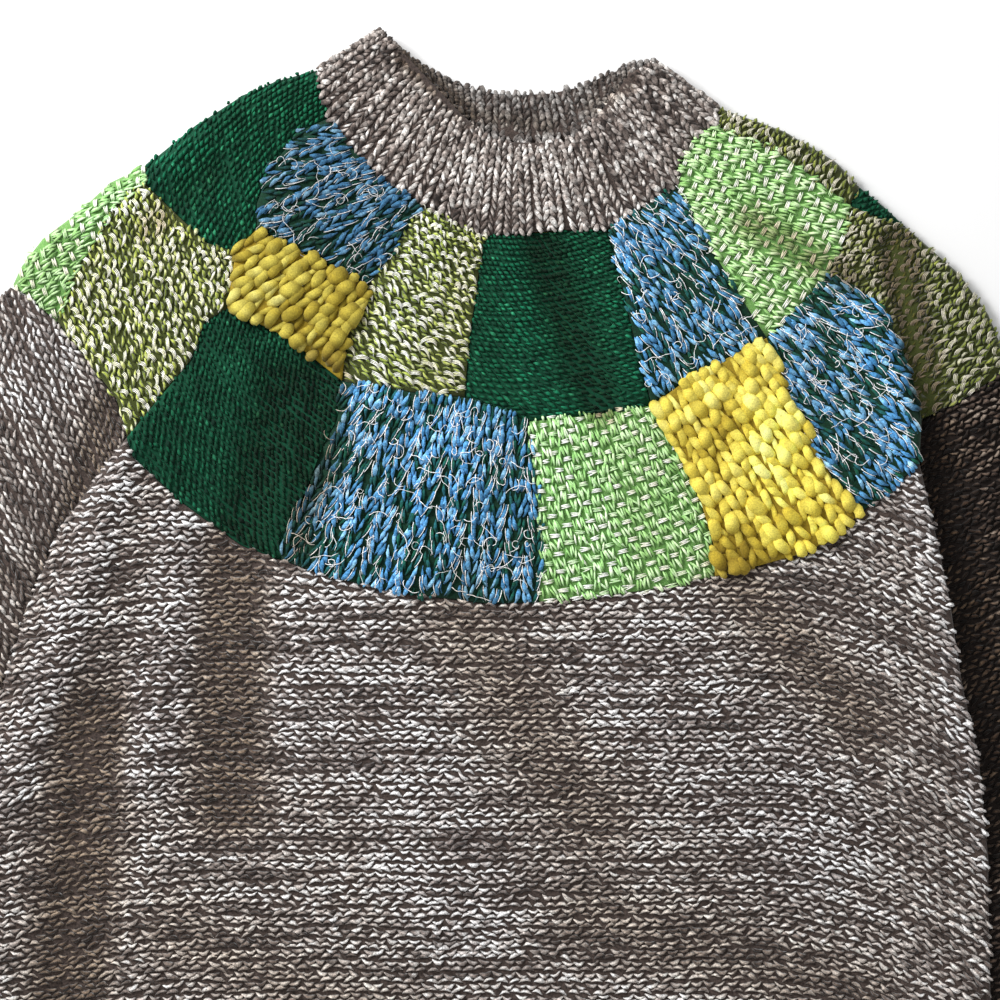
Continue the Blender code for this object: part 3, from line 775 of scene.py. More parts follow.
@dataclass(frozen=True)
class Yarn:
    """One yarn of the garment: its colours, its spin and its slot, which is not used."""

    slot: str
    ground: str                  # colour deep between the stitches
    colours: tuple[str, ...]     # from dark to light
    finish: Wool
    ply: float = 0.22            # how much lighter or darker one ply is than the other


# Marled wool, a dark and a pale ply spun together: light and dark dashes run along the rows
MARL = Yarn("marl_wool", "#453a35", ("#362c28", "#82756e", "#c8beb7", "#fbf6f1"),
            Wool("marled_wool", fibre=1.2, fleck=0.75, bump=0.5), 0.42)

# The same yarn with painted shade, for the right sleeve where it falls away from the light: darker
# and browner, its pale ply dulled
SHADED_MARL = Yarn("marl_wool", "#1a120e", ("#1a120d", "#3a2d25", "#6d5a4d", "#a89787"),
                   Wool("marled_wool_in_the_fold", fibre=1.3, fleck=0.6, sheen=0.05, bump=0.5),
                   0.42)

# Fine brushed wool in one deep green: close rows and a short soft nap
DARK_GREEN = Yarn("dark_green_wool", "#04402a", ("#043021", "#064d32", "#096343", "#359468"),
                  Wool("brushed_green_wool", fibre=0.9, fleck=0.5, sheen=0.05,
                       sheen_tint="#8fd8b4"))

# Blue slubs and a dark green ply, bound by a fine white thread that catches the light
BLUE_TWEED = Yarn("blue_tweed_wool", "#08301f",
                  ("#0a4a2f", "#2c6288", "#4f8dbb", "#93c3de", "#ffffff"),
                  Wool("tweed_slub_wool", fibre=1.0, fleck=0.65, sheen=0.12))

# Unspun roving, thick and thin: plump stitches with a faint silky sheen
YELLOW = Yarn("yellow_roving", "#947d22", ("#8c7520", "#b8a234", "#dccb56", "#efe582"),
              Wool("unspun_yellow_roving", fibre=1.0, fleck=0.3, sheen=0.2,
                   sheen_tint="#fff3a0", bump=0.7))

# Olive slub wool with cream stretches, which show as short dashes between the green bumps
OLIVE = Yarn("olive_wool", "#3c4316", ("#3f4a18", "#75832f", "#acb554", "#fff6ec"),
             Wool("olive_slub_wool", fibre=0.8, fleck=0.5))

# Crisp worsted-spun wool in light green, carried with a pale pink strand: a woven look
LIGHT_GREEN = Yarn("light_green_wool", "#6c9a52", ("#649449", "#97c277", "#cbe9b4", "#ffeee4"),
                   Wool("crisp_green_wool", fibre=0.8, fleck=0.4))


def mixed(yarn: Yarn, share: np.ndarray) -> np.ndarray:
    """Colours between a yarn's own, from dark to light.

    Args:
        yarn: the yarn.
        share: 0 for the darkest, 1 for the lightest.

    Returns:
        Linear colours, one for each share.
    """
    stops = np.array([linear(code) for code in yarn.colours])
    place = np.clip(share, 0.0, 1.0) * (len(stops) - 1)
    below = np.minimum(place.astype(int), len(stops) - 2)
    rest = (place - below)[..., None]
    return stops[below] * (1 - rest) + stops[below + 1] * rest


@dataclass
class Patch:
    """One stretch of knitting that is given its stitches."""

    lay: Lay
    course: Field | Band
    rng: np.random.Generator
    drift: Drift

    def cells(self, row: float, pitch: float, stagger: float, reach: float = 0.0
              ) -> tuple[np.ndarray, ...]:
        """Middles of the stitches that fall on the piece.

        Args:
            row: row spacing.
            pitch: stitch spacing along a row.
            stagger: share of a pitch that every other row is moved.
            reach: how far past the outline a stitch may lie.

        Returns:
            s, t, row numbers and stitch numbers.
        """
        size = float(np.hypot(*(self.lay.high - self.lay.low)[:2]))
        rows = np.arange(-int(size / row), int(size / row) + 1)
        stitches = np.arange(-int(size / pitch), int(size / pitch) + 1)
        number, stitch = np.meshgrid(rows, stitches, indexing="ij")
        s = (stitch + stagger * (number % 2)) * pitch
        t = number * row
        near = self.course.holds(s, t)
        s, t, number, stitch = s[near], t[near], number[near], stitch[near]
        x, y = self.course.place(s, t)
        keep = self.lay.covers(x, y, reach)
        return s[keep], t[keep], number[keep], stitch[keep]

    def lift(self, s: np.ndarray, t: np.ndarray, above: np.ndarray) -> np.ndarray:
        """Points of yarn on the cloth.

        Args:
            s: places along the row.
            t: places down the column.
            above: heights over the cloth's face.

        Returns:
            Points with x, y and z as their last axis.
        """
        x, y = self.course.place(s, t)
        return np.stack([x, y, self.lay.height(x, y) + above], axis=-1)


# Where a stitch reads a drift, its row or column number is multiplied by an odd stride and moved
# by an odd start, so that neighbouring rows and the several drifts don't repeat each other.


@dataclass(frozen=True)
class PurlSide:
    """Reverse stocking stitch: rows of bumps that curve down and up in turn."""

    yarn: Yarn
    row: float = 3.4
    pitch: float = 7.2
    thickness: float = 1.45
    depth: float = 1.45          # how far a bump curves out of its row
    reach: float = 0.46          # half length over the pitch
    lean: float = 0.0            # how far a bump's end lies down the column from its middle
    relief: float = 1.0          # how high a bump's middle stands over its ends
    rough: float = 1.0           # how unevenly the bumps lie
    streak: float = 24.0         # length of a light or dark stretch of the yarn
    tint: float = 0.69           # middle lightness of the yarn
    contrast: float = 1.0
    fleck: float = 0.2           # how much the colour changes along one bump
    rings: int = 4
    sides: int = 3
    margin: float = 1.5          # how far outside its piece a bump's middle may start
    overhang: float = 1.2        # how far past its piece a bump may lie
    slips: tuple[float, float, float] = (0.6, 0.4, 0.7)   # along the row, across it, in lean
    waver: tuple[float, float] = (26.0, 0.9)      # length of a row's waver, its share of a row
    sizes: tuple[float, float] = (0.75, 1.25)     # range drawn for a bump's thickness
    bows: tuple[float, float] = (0.6, 1.3)        # for how far it curves
    reaches: tuple[float, float] = (0.85, 1.12)   # for its length
    hops: tuple[float, float] = (0.9, 1.5)        # and for its height

    def knit(self, patch: Patch) -> Strands:
        """Lay the stitches.

        Args:
            patch: the stretch of knitting.

        Returns:
            The yarn.
        """
        s, t, number, _ = patch.cells(self.row, self.pitch, 0.5, self.margin)
        rng = patch.rng
        count = len(s)
        along_slip, across_slip, lean_slip = (slip * self.rough for slip in self.slips)
        length, share = self.waver
        s = s + rng.normal(0, along_slip, count)
        wander = patch.drift(s / length, number * 0.31) - 0.5
        t = t + rng.normal(0, across_slip, count) + wander * self.row * share
        size = self.thickness * (0.74 + 0.5 * patch.drift(s / 9.0, number * 7.3 + 3.1))
        size *= rng.uniform(*self.sizes, count)
        along = np.linspace(-1.0, 1.0, self.rings)
        arch = 1.0 - along ** 2
        bow = np.where(number % 2 == 0, 1.0, -1.0) * self.depth * rng.uniform(*self.bows, count)
        reach = self.pitch * self.reach * rng.uniform(*self.reaches, count)
        lean = self.lean + rng.normal(0, lean_slip, count)
        line_s = s[:, None] + along * reach[:, None]
        line_t = t[:, None] + (arch - 0.45) * bow[:, None] + along * lean[:, None]
        hop = self.relief * self.thickness * rng.uniform(*self.hops, (count, 1))
        above = -0.5 * self.thickness * self.relief + arch * hop
        points = patch.lift(line_s, line_t, above)
        across = size[:, None] * (0.5 + 0.5 * arch)
        made = Strands(sides=self.sides)
        made.add(points, np.stack([across, across], axis=-1), self.tints(patch, s, number, arch))
        return made

    def tints(self, patch: Patch, s: np.ndarray, number: np.ndarray, arch: np.ndarray
              ) -> np.ndarray:
        """Colour the bumps by stretches of the yarn, long, short and across many rows.

        Args:
            patch: the stretch of knitting.
            s: places of the bumps along their rows.
            number: row numbers.
            arch: 1 in the middle of a bump, 0 at its ends, which are darkened as painted shade.

        Returns:
            Linear colours.
        """
        long = patch.drift(s / self.streak, number * 5.77)
        short = patch.drift(s / (self.streak * 0.33) + 11.0, number * 3.91 + 7.0)
        band = patch.drift(s / (self.streak * 3.2) + 5.0, number * 0.43 + 2.0)
        light = self.tint + self.contrast * (0.55 * (band - 0.5) + 0.7 * (long - 0.5)
                                             + 0.5 * (short - 0.5))
        light = light[:, None] + patch.rng.normal(0, self.fleck, (len(s), self.rings))
        # Painted shade: a bump darkens towards its ends
        return mixed(self.yarn, light - 0.12 * (1.0 - arch))


@dataclass(frozen=True)
class Stocking:
    """Stocking stitch: columns of V shapes, each leg a length of thick or thin yarn."""

    yarn: Yarn
    pitch: float = 11.0          # width of a column
    row: float = 8.6
    thickness: float = 2.6
    slub: float = 0.35           # how unevenly the yarn is spun
    flat: float = 0.75           # height of the yarn over its width
    rings: int = 7
    sides: int = 8
    reach: float = 0.0
    spill: float = 0.0           # how far the yarn stands over its cloth
    start: float = 0.06          # how far from the column's middle a leg starts, over the pitch
    spread: float = 0.44         # how far from there it ends
    length: float = 1.22         # length of a leg over the row
    bow: float = 0.8             # under 1 a leg spreads early and then runs along its column
    blunt: float = 0.35          # thickness of a leg's ends over its middle's
    fleck: float = 0.05          # how much the colour changes along one leg
    overhang: float = 1.2        # how far past its piece a leg may lie
    spreads: tuple[float, float] = (0.85, 1.1)   # range drawn for how far a leg spreads
    nub: float = 0.22            # unevenness of the yarn along one leg
    waver: tuple[float, float] = (40.0, 0.5)  # length of a column's waver, its share of a pitch

    def legs(self, patch: Patch) -> tuple[np.ndarray, ...]:
        """Places of the legs of all V shapes.

        Args:
            patch: the stretch of knitting.

        Returns:
            s and t of the columns' middles, side of each leg and column numbers.
        """
        s, t, _, stitch = patch.cells(self.row, self.pitch, 0.0, self.reach)
        side = np.repeat([[-1.0, 1.0]], len(s), axis=0).ravel()
        return np.repeat(s, 2), np.repeat(t, 2), side, np.repeat(stitch, 2)

    def wavered(self, patch: Patch, s: np.ndarray, t: np.ndarray, stitch: np.ndarray
                ) -> np.ndarray:
        """Let the columns waver.

        Args:
            patch: the stretch of knitting.
            s: middles of the columns.
            t: middles of the rows.
            stitch: column numbers.

        Returns:
            New middles of the columns.
        """
        length, share = self.waver
        return s + (patch.drift(t / length, stitch * 1.7) - 0.5) * self.pitch * share

    def line(self, patch: Patch, s: np.ndarray, t: np.ndarray, side: np.ndarray
             ) -> tuple[np.ndarray, np.ndarray, np.ndarray]:
        """Middle line of each leg: from low in the middle to high at the side.

        Args:
            patch: the stretch of knitting.
            s: middles of the columns.
            t: middles of the rows.
            side: -1 for a left leg, 1 for a right one.

        Returns:
            Line in s, line in t and how far along each point is.
        """
        along = np.linspace(0.0, 1.0, self.rings)
        rng = patch.rng
        count = len(s)
        out = self.pitch * self.spread * rng.uniform(*self.spreads, (count, 1))
        start = self.pitch * self.start
        bow = np.sin(along * math.pi * 0.5) ** self.bow
        line_s = s[:, None] + side[:, None] * (start + (out - start) * bow)
        length = self.row * self.length
        line_t = t[:, None] + length * (0.5 - along) + rng.normal(0, self.row * 0.05, (count, 1))
        return line_s, line_t, along

    def knit(self, patch: Patch) -> Strands:
        """Lay the stitches.

        Args:
            patch: the stretch of knitting.

        Returns:
            The yarn.
        """
        s, t, side, stitch = self.legs(patch)
        rng = patch.rng
        count = len(s)
        s = self.wavered(patch, s, t, stitch)
        t = t + (patch.drift(stitch * 0.37, t / 35.0 + 9.0) - 0.5) * self.row * 0.9
        line_s, line_t, along = self.line(patch, s, t, side)
        swell = np.sin(along * math.pi) ** 0.7
        size = self.thickness * (1.0 + self.slub * rng.normal(0, 1.0, (count, 1)).clip(-1.6, 2.0))
        nubs = rng.normal(0, 1.0, (count, self.rings)).clip(-1.2, 1.6)
        nubs = 1.0 + self.nub * nubs * self.slub
        across = size * (self.blunt + (1.0 - self.blunt) * swell) * nubs
        above = self.spill - 0.7 * self.thickness + 1.2 * size * self.flat * swell
        points = patch.lift(line_s, line_t, above)
        radii = np.stack([across, across * self.flat], axis=-1)
        light = 0.5 + 0.5 * (patch.drift(s / 24.0, t / 24.0) - 0.5)
        # Painted light and shade: a leg is lighter where it swells in its middle and darker at its
        # ends
        light = light[:, None] + rng.normal(0, 0.13, (count, 1)) + 0.35 * (swell - 0.7)
        light = light + rng.normal(0, self.fleck, (count, self.rings))
        made = Strands(sides=self.sides)
        made.add(points, radii, mixed(self.yarn, light))
        return made


@dataclass(frozen=True)
class Tweed(Stocking):
    """Stocking stitch of several plies: green and blue slubs with a curly white thread."""

    plies: int = 2
    sides: int = 4
    apart: float = 0.9           # distance of the plies over their thickness
    blue: float = 0.56           # share of blue plies
    slub_sizes: tuple[float, float] = (0.55, 0.98)   # range drawn for a blue ply's thickness
    green_size: float = 0.62     # thickness of a green ply
    leaf: float = 0.27           # half length of a ply's thick part over its length
    rims: float = 0.42           # share of the plies with a white thread at their side
    rim_sizes: tuple[float, float] = (0.18, 0.34)
    threads: float = 0.7         # curly threads for each stitch
    thread_sizes: tuple[float, float] = (0.17, 0.3)
    thread_rings: int = 9
    thread_steps: tuple[float, float] = (0.8, 2.1)   # length of a curl from ring to ring
    thread_hops: tuple[float, float] = (0.2, 1.6)    # how high it stands over the stitches

    def knit(self, patch: Patch) -> Strands:
        """Lay the stitches.

        Args:
            patch: the stretch of knitting.

        Returns:
            The yarn.
        """
        s, t, side, stitch = self.legs(patch)
        s = self.wavered(patch, s, t, stitch)
        t = t + patch.rng.normal(0, self.row * 0.07, len(t))
        made = Strands(sides=self.sides)
        bluer = 1.1 * (patch.drift(s / 18.0 + 5.0, t / 11.0) - 0.5)
        for ply in range(self.plies):
            apart = (ply - (self.plies - 1) / 2.0) * self.thickness * self.apart
            self.ply(patch, made, (s, t, side), apart, self.blue + bluer[:, None])
        self.curls(patch, made, int(len(s) / 2 * self.threads))
        return made

    def ply(self, patch: Patch, made: Strands, legs: tuple, apart: float, blue: np.ndarray
            ) -> None:
        """Add one ply of every leg, with the white thread at the side of some.

        Args:
            patch: the stretch of knitting.
            made: the yarn it joins.
            legs: s, t and side of the legs.
            apart: how far the ply lies from its leg's middle.
            blue: chance of a blue ply at each leg.
        """
        s, t, side = legs
        rng = patch.rng
        count = len(s)
        line_s, line_t, along = self.line(patch, s, t, side)
        line_s = line_s + apart + rng.normal(0, 0.45, (count, 1))
        line_t = line_t + apart * side[:, None] * 0.5 + rng.normal(0, 0.6, (count, 1))
        is_blue = rng.random((count, 1)) < blue
        middle = rng.uniform(0.35, 0.65, (count, 1))
        leaf = 0.25 + 0.75 * np.exp(-((along - middle) / self.leaf) ** 2)
        slub = rng.uniform(*self.slub_sizes, (count, 1))
        size = self.thickness * np.where(is_blue, slub, self.green_size)
        across = size * leaf
        above = self.thickness * (leaf - 0.5) + np.where(is_blue, 0.5, 0.0)
        above = above + rng.normal(0, 0.35, (count, 1))
        points = patch.lift(line_s, line_t, above)
        green = rng.uniform(0.0, 0.09, (count, self.rings))
        bright = rng.uniform(0.32, 0.66, (count, 1)) + rng.normal(0, 0.07, (count, self.rings))
        made.add(points, np.stack([across, across * 0.7], axis=-1),
                 mixed(self.yarn, np.where(is_blue, bright, green)))
        pick = rng.random(count) < self.rims
        rim = patch.lift(line_s + size * 0.75 * side[:, None], line_t, above + size * 0.45)
        thin = np.full((count, self.rings, 2), 1.0) * rng.uniform(*self.rim_sizes, (count, 1, 1))
        made.add(rim[pick], thin[pick], mixed(self.yarn, np.full((pick.sum(), self.rings), 1.0)))

    def curls(self, patch: Patch, made: Strands, count: int) -> None:
        """Add the fine white thread that curls over the stitches.

        Args:
            patch: the stretch of knitting.
            made: the yarn it joins.
            count: how many curls.
        """
        rng = patch.rng
        rings = self.thread_rings
        s, t, _, _ = patch.cells(self.row, self.pitch, 0.0)
        pick = rng.integers(0, len(s), count)
        s = s[pick] + rng.uniform(-0.5, 0.5, count) * self.pitch
        t = t[pick] + rng.uniform(-0.5, 0.5, count) * self.row
        step = rng.uniform(*self.thread_steps, (count, 1))
        heading = rng.uniform(0, 2 * math.pi, (count, 1))
        bend = rng.normal(0, 0.32, (count, 1)) + rng.normal(0, 0.3, (count, rings))
        heading = heading + np.cumsum(bend, axis=1)
        line_s = s[:, None] + np.cumsum(np.cos(heading) * step, axis=1)
        line_t = t[:, None] + np.cumsum(np.sin(heading) * step, axis=1)
        hop = np.sin(np.linspace(0, math.pi, rings))
        above = self.thickness * 0.9 + hop * rng.uniform(*self.thread_hops, (count, 1))
        points = patch.lift(line_s, line_t, above)
        radii = np.full((count, rings, 2), 1.0) * rng.uniform(*self.thread_sizes, (count, 1, 1))
        made.add(points, radii, mixed(self.yarn, np.full((count, rings), 1.0)))


@dataclass(frozen=True)
class SlubPurl(PurlSide):
    """Garter bumps with the slub's pale stretches showing as short curved dashes."""

    dashes: float = 0.85         # share of every other row's bumps that show a dash
    dash_strands: int = 3
    dash_gap: float = 0.85       # distance of its strands
    dash_rings: int = 5
    dash_reaches: tuple[float, float] = (0.34, 0.62)   # range drawn for half its length
    dash_bows: tuple[float, float] = (-2.2, -0.5)      # for how far it curves up the column
    dash_sizes: tuple[float, float] = (0.36, 0.58)     # and for a strand's half thickness
    dash_light: float = 0.9

    def knit(self, patch: Patch) -> Strands:
        """Lay the stitches.

        Args:
            patch: the stretch of knitting.

        Returns:
            The yarn.
        """
        made = super().knit(patch)
        rng = patch.rng
        s, t, _, _ = patch.cells(self.row * 2, self.pitch, 0.5)
        pick = rng.random(len(s)) < self.dashes
        s, t = s[pick], t[pick]
        count = len(s)
        along = np.linspace(-1.0, 1.0, self.dash_rings)
        arch = 1.0 - along ** 2
        reach = self.pitch * rng.uniform(*self.dash_reaches, (count, 1))
        lean = rng.normal(0.15, 0.30, (count, 1)) * self.row
        s = s + rng.normal(0, 1.2, count)
        t = t + rng.normal(0, 0.8, count)
        bow = rng.uniform(*self.dash_bows, (count, 1))
        for strand in range(self.dash_strands):
            apart = (strand - (self.dash_strands - 1) / 2) * self.dash_gap
            line_s = s[:, None] + along * reach + apart * 0.3
            line_t = t[:, None] + arch * bow + along * lean + apart
            above = self.thickness * 0.55 + arch * 1.1
            points = patch.lift(line_s, line_t, above)
            size = rng.uniform(*self.dash_sizes, (count, 1)) * (0.45 + 0.55 * arch)
            light = self.dash_light + rng.normal(0, 0.05, (count, self.dash_rings))
            made.add(points, np.stack([size, size], axis=-1), mixed(self.yarn, light))
        return made


@dataclass(frozen=True)
class LinenStitch:
    """Linen stitch: upright green bumps and flat pale floats, in turn and staggered."""

    yarn: Yarn
    row: float = 5.7
    pitch: float = 14.4
    rings: int = 4
    sides: int = 4
    margin: float = 6.0          # how far outside its piece a stitch's middle may start
    overhang: float = 2.0        # how far past its piece a stitch may lie
    float_strands: int = 3
    float_gap: float = 0.85      # distance of a float's strands
    float_reaches: tuple[float, float] = (0.16, 0.25)   # half length over the pitch
    float_size: float = 0.52     # half thickness of a strand
    bump_strands: int = 5
    bump_gap: float = 1.45
    bump_length: float = 0.62    # half length over the row
    bump_sizes: tuple[float, float] = (0.75, 1.15)

    def knit(self, patch: Patch) -> Strands:
        """Lay the stitches.

        Args:
            patch: the stretch of knitting.

        Returns:
            The yarn.
        """
        rng = patch.rng
        s, t, _, _ = patch.cells(self.row, self.pitch, 0.5, self.margin)
        count = len(s)
        s = s + rng.normal(0, 0.7, count)
        t = t + rng.normal(0, 0.35, count)
        made = Strands(sides=self.sides)
        self.floats(patch, made, s, t)
        self.bumps(patch, made, s + self.pitch * 0.5, t)
        return made

    def floats(self, patch: Patch, made: Strands, s: np.ndarray, t: np.ndarray) -> None:
        """Add the pale floats, some of them with the green showing through.

        Args:
            patch: the stretch of knitting.
            made: the yarn they join.
            s: places of the floats' middles along their rows.
            t: places down the columns.
        """
        rng = patch.rng
        count = len(s)
        along = np.linspace(-1.0, 1.0, self.rings)
        arch = 1.0 - along ** 2
        middle = np.where(rng.random(count)[:, None] < 0.8, 0.88, 0.6)
        for strand in range(self.float_strands):
            apart = (strand - self.float_strands // 2) * self.float_gap
            reach = self.pitch * rng.uniform(*self.float_reaches, (count, 1))
            line_s = s[:, None] + along * reach
            line_t = t[:, None] + apart + along * rng.normal(0, 0.25, (count, 1))
            above = 0.15 + arch * rng.uniform(0.7, 1.1, (count, 1))
            points = patch.lift(line_s, line_t, above)
            size = self.float_size * rng.uniform(0.75, 1.2, (count, 1)) * (0.5 + 0.5 * arch)
            pale = middle + rng.normal(0, 0.07, (count, self.rings))
            made.add(points, np.stack([size, size], axis=-1), mixed(self.yarn, pale))

    def bumps(self, patch: Patch, made: Strands, s: np.ndarray, t: np.ndarray) -> None:
        """Add the upright green bumps between the floats.

        Args:
            patch: the stretch of knitting.
            made: the yarn they join.
            s: places of the bumps' middles along their rows.
            t: places down the columns.
        """
        rng = patch.rng
        count = len(s)
        along = np.linspace(-1.0, 1.0, self.rings)
        arch = 1.0 - along ** 2
        for strand in range(self.bump_strands):
            apart = (strand - self.bump_strands // 2) * self.bump_gap
            tilt = rng.normal(0.7, 0.8, (count, 1)) + (0.4 if strand % 2 else -0.4)
            line_s = s[:, None] + apart + along * tilt + rng.normal(0, 0.45, (count, 1))
            line_t = t[:, None] + along * (self.row * self.bump_length)
            line_t = line_t + rng.normal(0, 0.7, (count, 1))
            above = -0.3 + arch * rng.uniform(1.2, 2.0, (count, 1))
            points = patch.lift(line_s, line_t, above)
            size = rng.uniform(*self.bump_sizes, (count, 1)) * (0.55 + 0.45 * arch)
            light = 0.34 + rng.normal(0, 0.16, (count, 1))
            # Painted light and shade: a bump is lighter in its middle and darker at its ends
            light = light + rng.normal(0, 0.08, (count, self.rings)) + 0.25 * (arch - 0.5)
            made.add(points, np.stack([size, size], axis=-1),
                     mixed(self.yarn, light.clip(0, 0.7)))


# Any of the stitches that a piece may be knitted in
Knit = PurlSide | Stocking | LinenStitch


@dataclass
class Piece:
    """A knitted piece: its wall, its stitches, its cut and its place."""

    node: str                     # name of its solid
    yarn: Yarn
    rests_on: tuple[str, ...]     # solids that carry it, or the surface; not used
    seed: int                     # which random draws it gets
    courses: tuple[tuple[Knit, Field | Band, float], ...] = ()   # stitch, its rows, how light as painted light and shade
    creases: tuple = ()
    layers: int = 1               # 2 for a tube that lies flat; not used
    wrap: int = 0                 # cells by which high edges are widened under the stitches

    def wall(self, lay: Lay) -> bpy.types.Object:
        """Make the piece's wall: its solid's form, finer, with the creases in it.

        Args:
            lay: how the piece lies.

        Returns:
            The wall.
        """
        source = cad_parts[self.node].data
        bm = bmesh.new()
        bm.from_mesh(source)
        bmesh.ops.remove_doubles(bm, verts=bm.verts[:], dist=1e-6)
        step = (SHELL_STEP if self.courses else PLAIN_STEP) * MM
        for _ in range(CUTS):
            long = [e for e in bm.edges if e.calc_length() > step]
            if not long:
                break
            bmesh.ops.subdivide_edges(bm, edges=long, cuts=1, use_grid_fill=False)
            bmesh.ops.triangulate(bm, faces=[f for f in bm.faces if len(f.verts) > 3])
        co = np.array([v.co for v in bm.verts]) / MM
        if self.courses:
            top = lay.read(lay.raw, co[:, 0], co[:, 1])
            on_top = np.abs(co[:, 2] - top) < ON_TOP
            rise = lay.rise(co[:, 0], co[:, 1])
            soft = lay.read(lay.grid, co[:, 0], co[:, 1]) - YARN_SINK
            lifted = np.where(on_top, soft + rise, co[:, 2] + np.maximum(rise, 0.0))
            co[:, 2] = np.where(co[:, 2] < ON_FLOOR, co[:, 2], np.maximum(lifted, 0.0))
        for vert, z in zip(bm.verts, co[:, 2]):
            vert.co.z = z * MM
        bmesh.ops.recalc_face_normals(bm, faces=bm.faces[:])
        mesh = bpy.data.meshes.new(self.node + "_cloth")
        bm.to_mesh(mesh)
        bm.free()
        mesh.shade_smooth()
        return linked(mesh.name, mesh)

    def build(self, finishes: dict[str, bpy.types.Material]) -> list[bpy.types.Object]:
        """Make, dress and place the piece.

        Args:
            finishes: the materials by name.

        Returns:
            The wall and its stitches.
        """
        lay = Lay(self.node, self.creases, self.wrap)
        wall = self.wall(lay)
        wall.data.materials.append(finishes[self.yarn.finish.name + "_ground"])
        made = [wall]
        for number, (stitch, course, tone) in enumerate(self.courses):
            rng = np.random.default_rng(self.seed + COURSE_SEED * number)
            strands = stitch.knit(Patch(lay, course, rng, Drift(self.seed + DRIFT_SEED)))
            strands.fit(lay, stitch.overhang, tone)
            name = self.node + ("_stitches" if number == 0 else f"_stitches_{number}")
            obj = strands.mesh(name, TWIST, self.yarn.ply)
            obj.data.materials.append(finishes[self.yarn.finish.name])
            made.append(obj)
        for obj in made:
            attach(obj, BODY)
        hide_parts(self.node)
        triangles = sum(len(p.vertices) - 2 for o in made for p in o.data.polygons)
        LOG.info("%s: %d pieces, %d triangles", self.node, len(made), triangles)
        return made


# Marled wool with its purl side out: seven rows to 24 mm, a bump every 7 mm along a row
PURL_MARL = PurlSide(MARL)
# The sleeves' marl has a darker tint than the body's: painted shade, deepest on the right sleeve in
# its fold
SLEEVE_PURL = PurlSide(MARL, depth=0.7, reach=0.5, tint=0.55)
SHADED_PURL = PurlSide(SHADED_MARL, depth=0.9, tint=0.5)

# Ribs of the collar: one column of V shapes on each of the solid's ribs
RIB = Stocking(MARL, pitch=8.25, row=4.1, thickness=1.34, slub=0.25, rings=6, sides=6,
               spread=0.42, length=1.75, bow=1.25, fleck=0.26, overhang=2.0, reach=1.5)

# Blocks of the yoke: fine purl side, thick roving, tweed slubs, olive bumps and linen stitch
FINE_PURL = PurlSide(DARK_GREEN, row=3.2, pitch=4.2, thickness=1.55, depth=0.2, reach=0.46,
                     lean=1.0, relief=0.5, rough=0.6, streak=9.0, tint=0.42, contrast=0.5,
                     fleck=0.2, overhang=0.4)
CHUNKY = Stocking(YELLOW, pitch=11.6, row=9.0, thickness=3.1, slub=0.28, reach=1.5, spill=0.8,
                  blunt=0.6, overhang=2.2, start=0.1, spread=0.38, length=1.4)
TWEED = Tweed(BLUE_TWEED, pitch=11.0, row=7.6, thickness=2.5, rings=5, reach=1.5, overhang=2.0,
              start=0.12, spread=0.34, length=1.25)
SLUB = SlubPurl(OLIVE, row=3.3, pitch=6.0, thickness=1.25, depth=1.0, contrast=0.45, lean=0.5,
                rough=0.9, tint=0.5)
LINEN = LinenStitch(LIGHT_GREEN)

# Front yoke: solid, yarn, stitch, how light it is. The lightness paints the light and shade that
# falls on each block over its yarn's colour.
FRONT_YOKE = (
    ("yoke_front_a1", DARK_GREEN, FINE_PURL, 1.05),
    ("yoke_front_a2", BLUE_TWEED, TWEED, 0.6),
    ("yoke_front_a3", OLIVE, SLUB, 1.25),
    ("yoke_front_a4", YELLOW, CHUNKY, 0.66),
    ("yoke_front_a5", DARK_GREEN, FINE_PURL, 1.0),
    ("yoke_front_a6", BLUE_TWEED, TWEED, 1.05),
    ("yoke_front_a7", LIGHT_GREEN, LINEN, 1.3),
    ("yoke_front_a8", OLIVE, SLUB, 0.85),
    ("yoke_front_b1", LIGHT_GREEN, LINEN, 0.95),
    ("yoke_front_b2", OLIVE, SLUB, 1.35),
    ("yoke_front_b3", DARK_GREEN, FINE_PURL, 0.7),
    ("yoke_front_b4", BLUE_TWEED, TWEED, 1.1),
    ("yoke_front_b5", LIGHT_GREEN, LINEN, 1.2),
    ("yoke_front_b6", YELLOW, CHUNKY, 1.1),
    ("yoke_front_b7", BLUE_TWEED, TWEED, 1.05),
    ("yoke_front_b8", OLIVE, SLUB, 0.84),
    ("yoke_front_b9", DARK_GREEN, FINE_PURL, 0.8),
)

# Back yoke: solid, yarn
BACK_YOKE = (
    ("yoke_back_a1", LIGHT_GREEN), ("yoke_back_a2", DARK_GREEN), ("yoke_back_a3", OLIVE),
    ("yoke_back_a4", YELLOW), ("yoke_back_a5", BLUE_TWEED), ("yoke_back_b1", OLIVE),
    ("yoke_back_b2", BLUE_TWEED), ("yoke_back_b3", LIGHT_GREEN), ("yoke_back_b4", DARK_GREEN),
    ("yoke_back_b5", OLIVE), ("yoke_back_b6", DARK_GREEN),
)

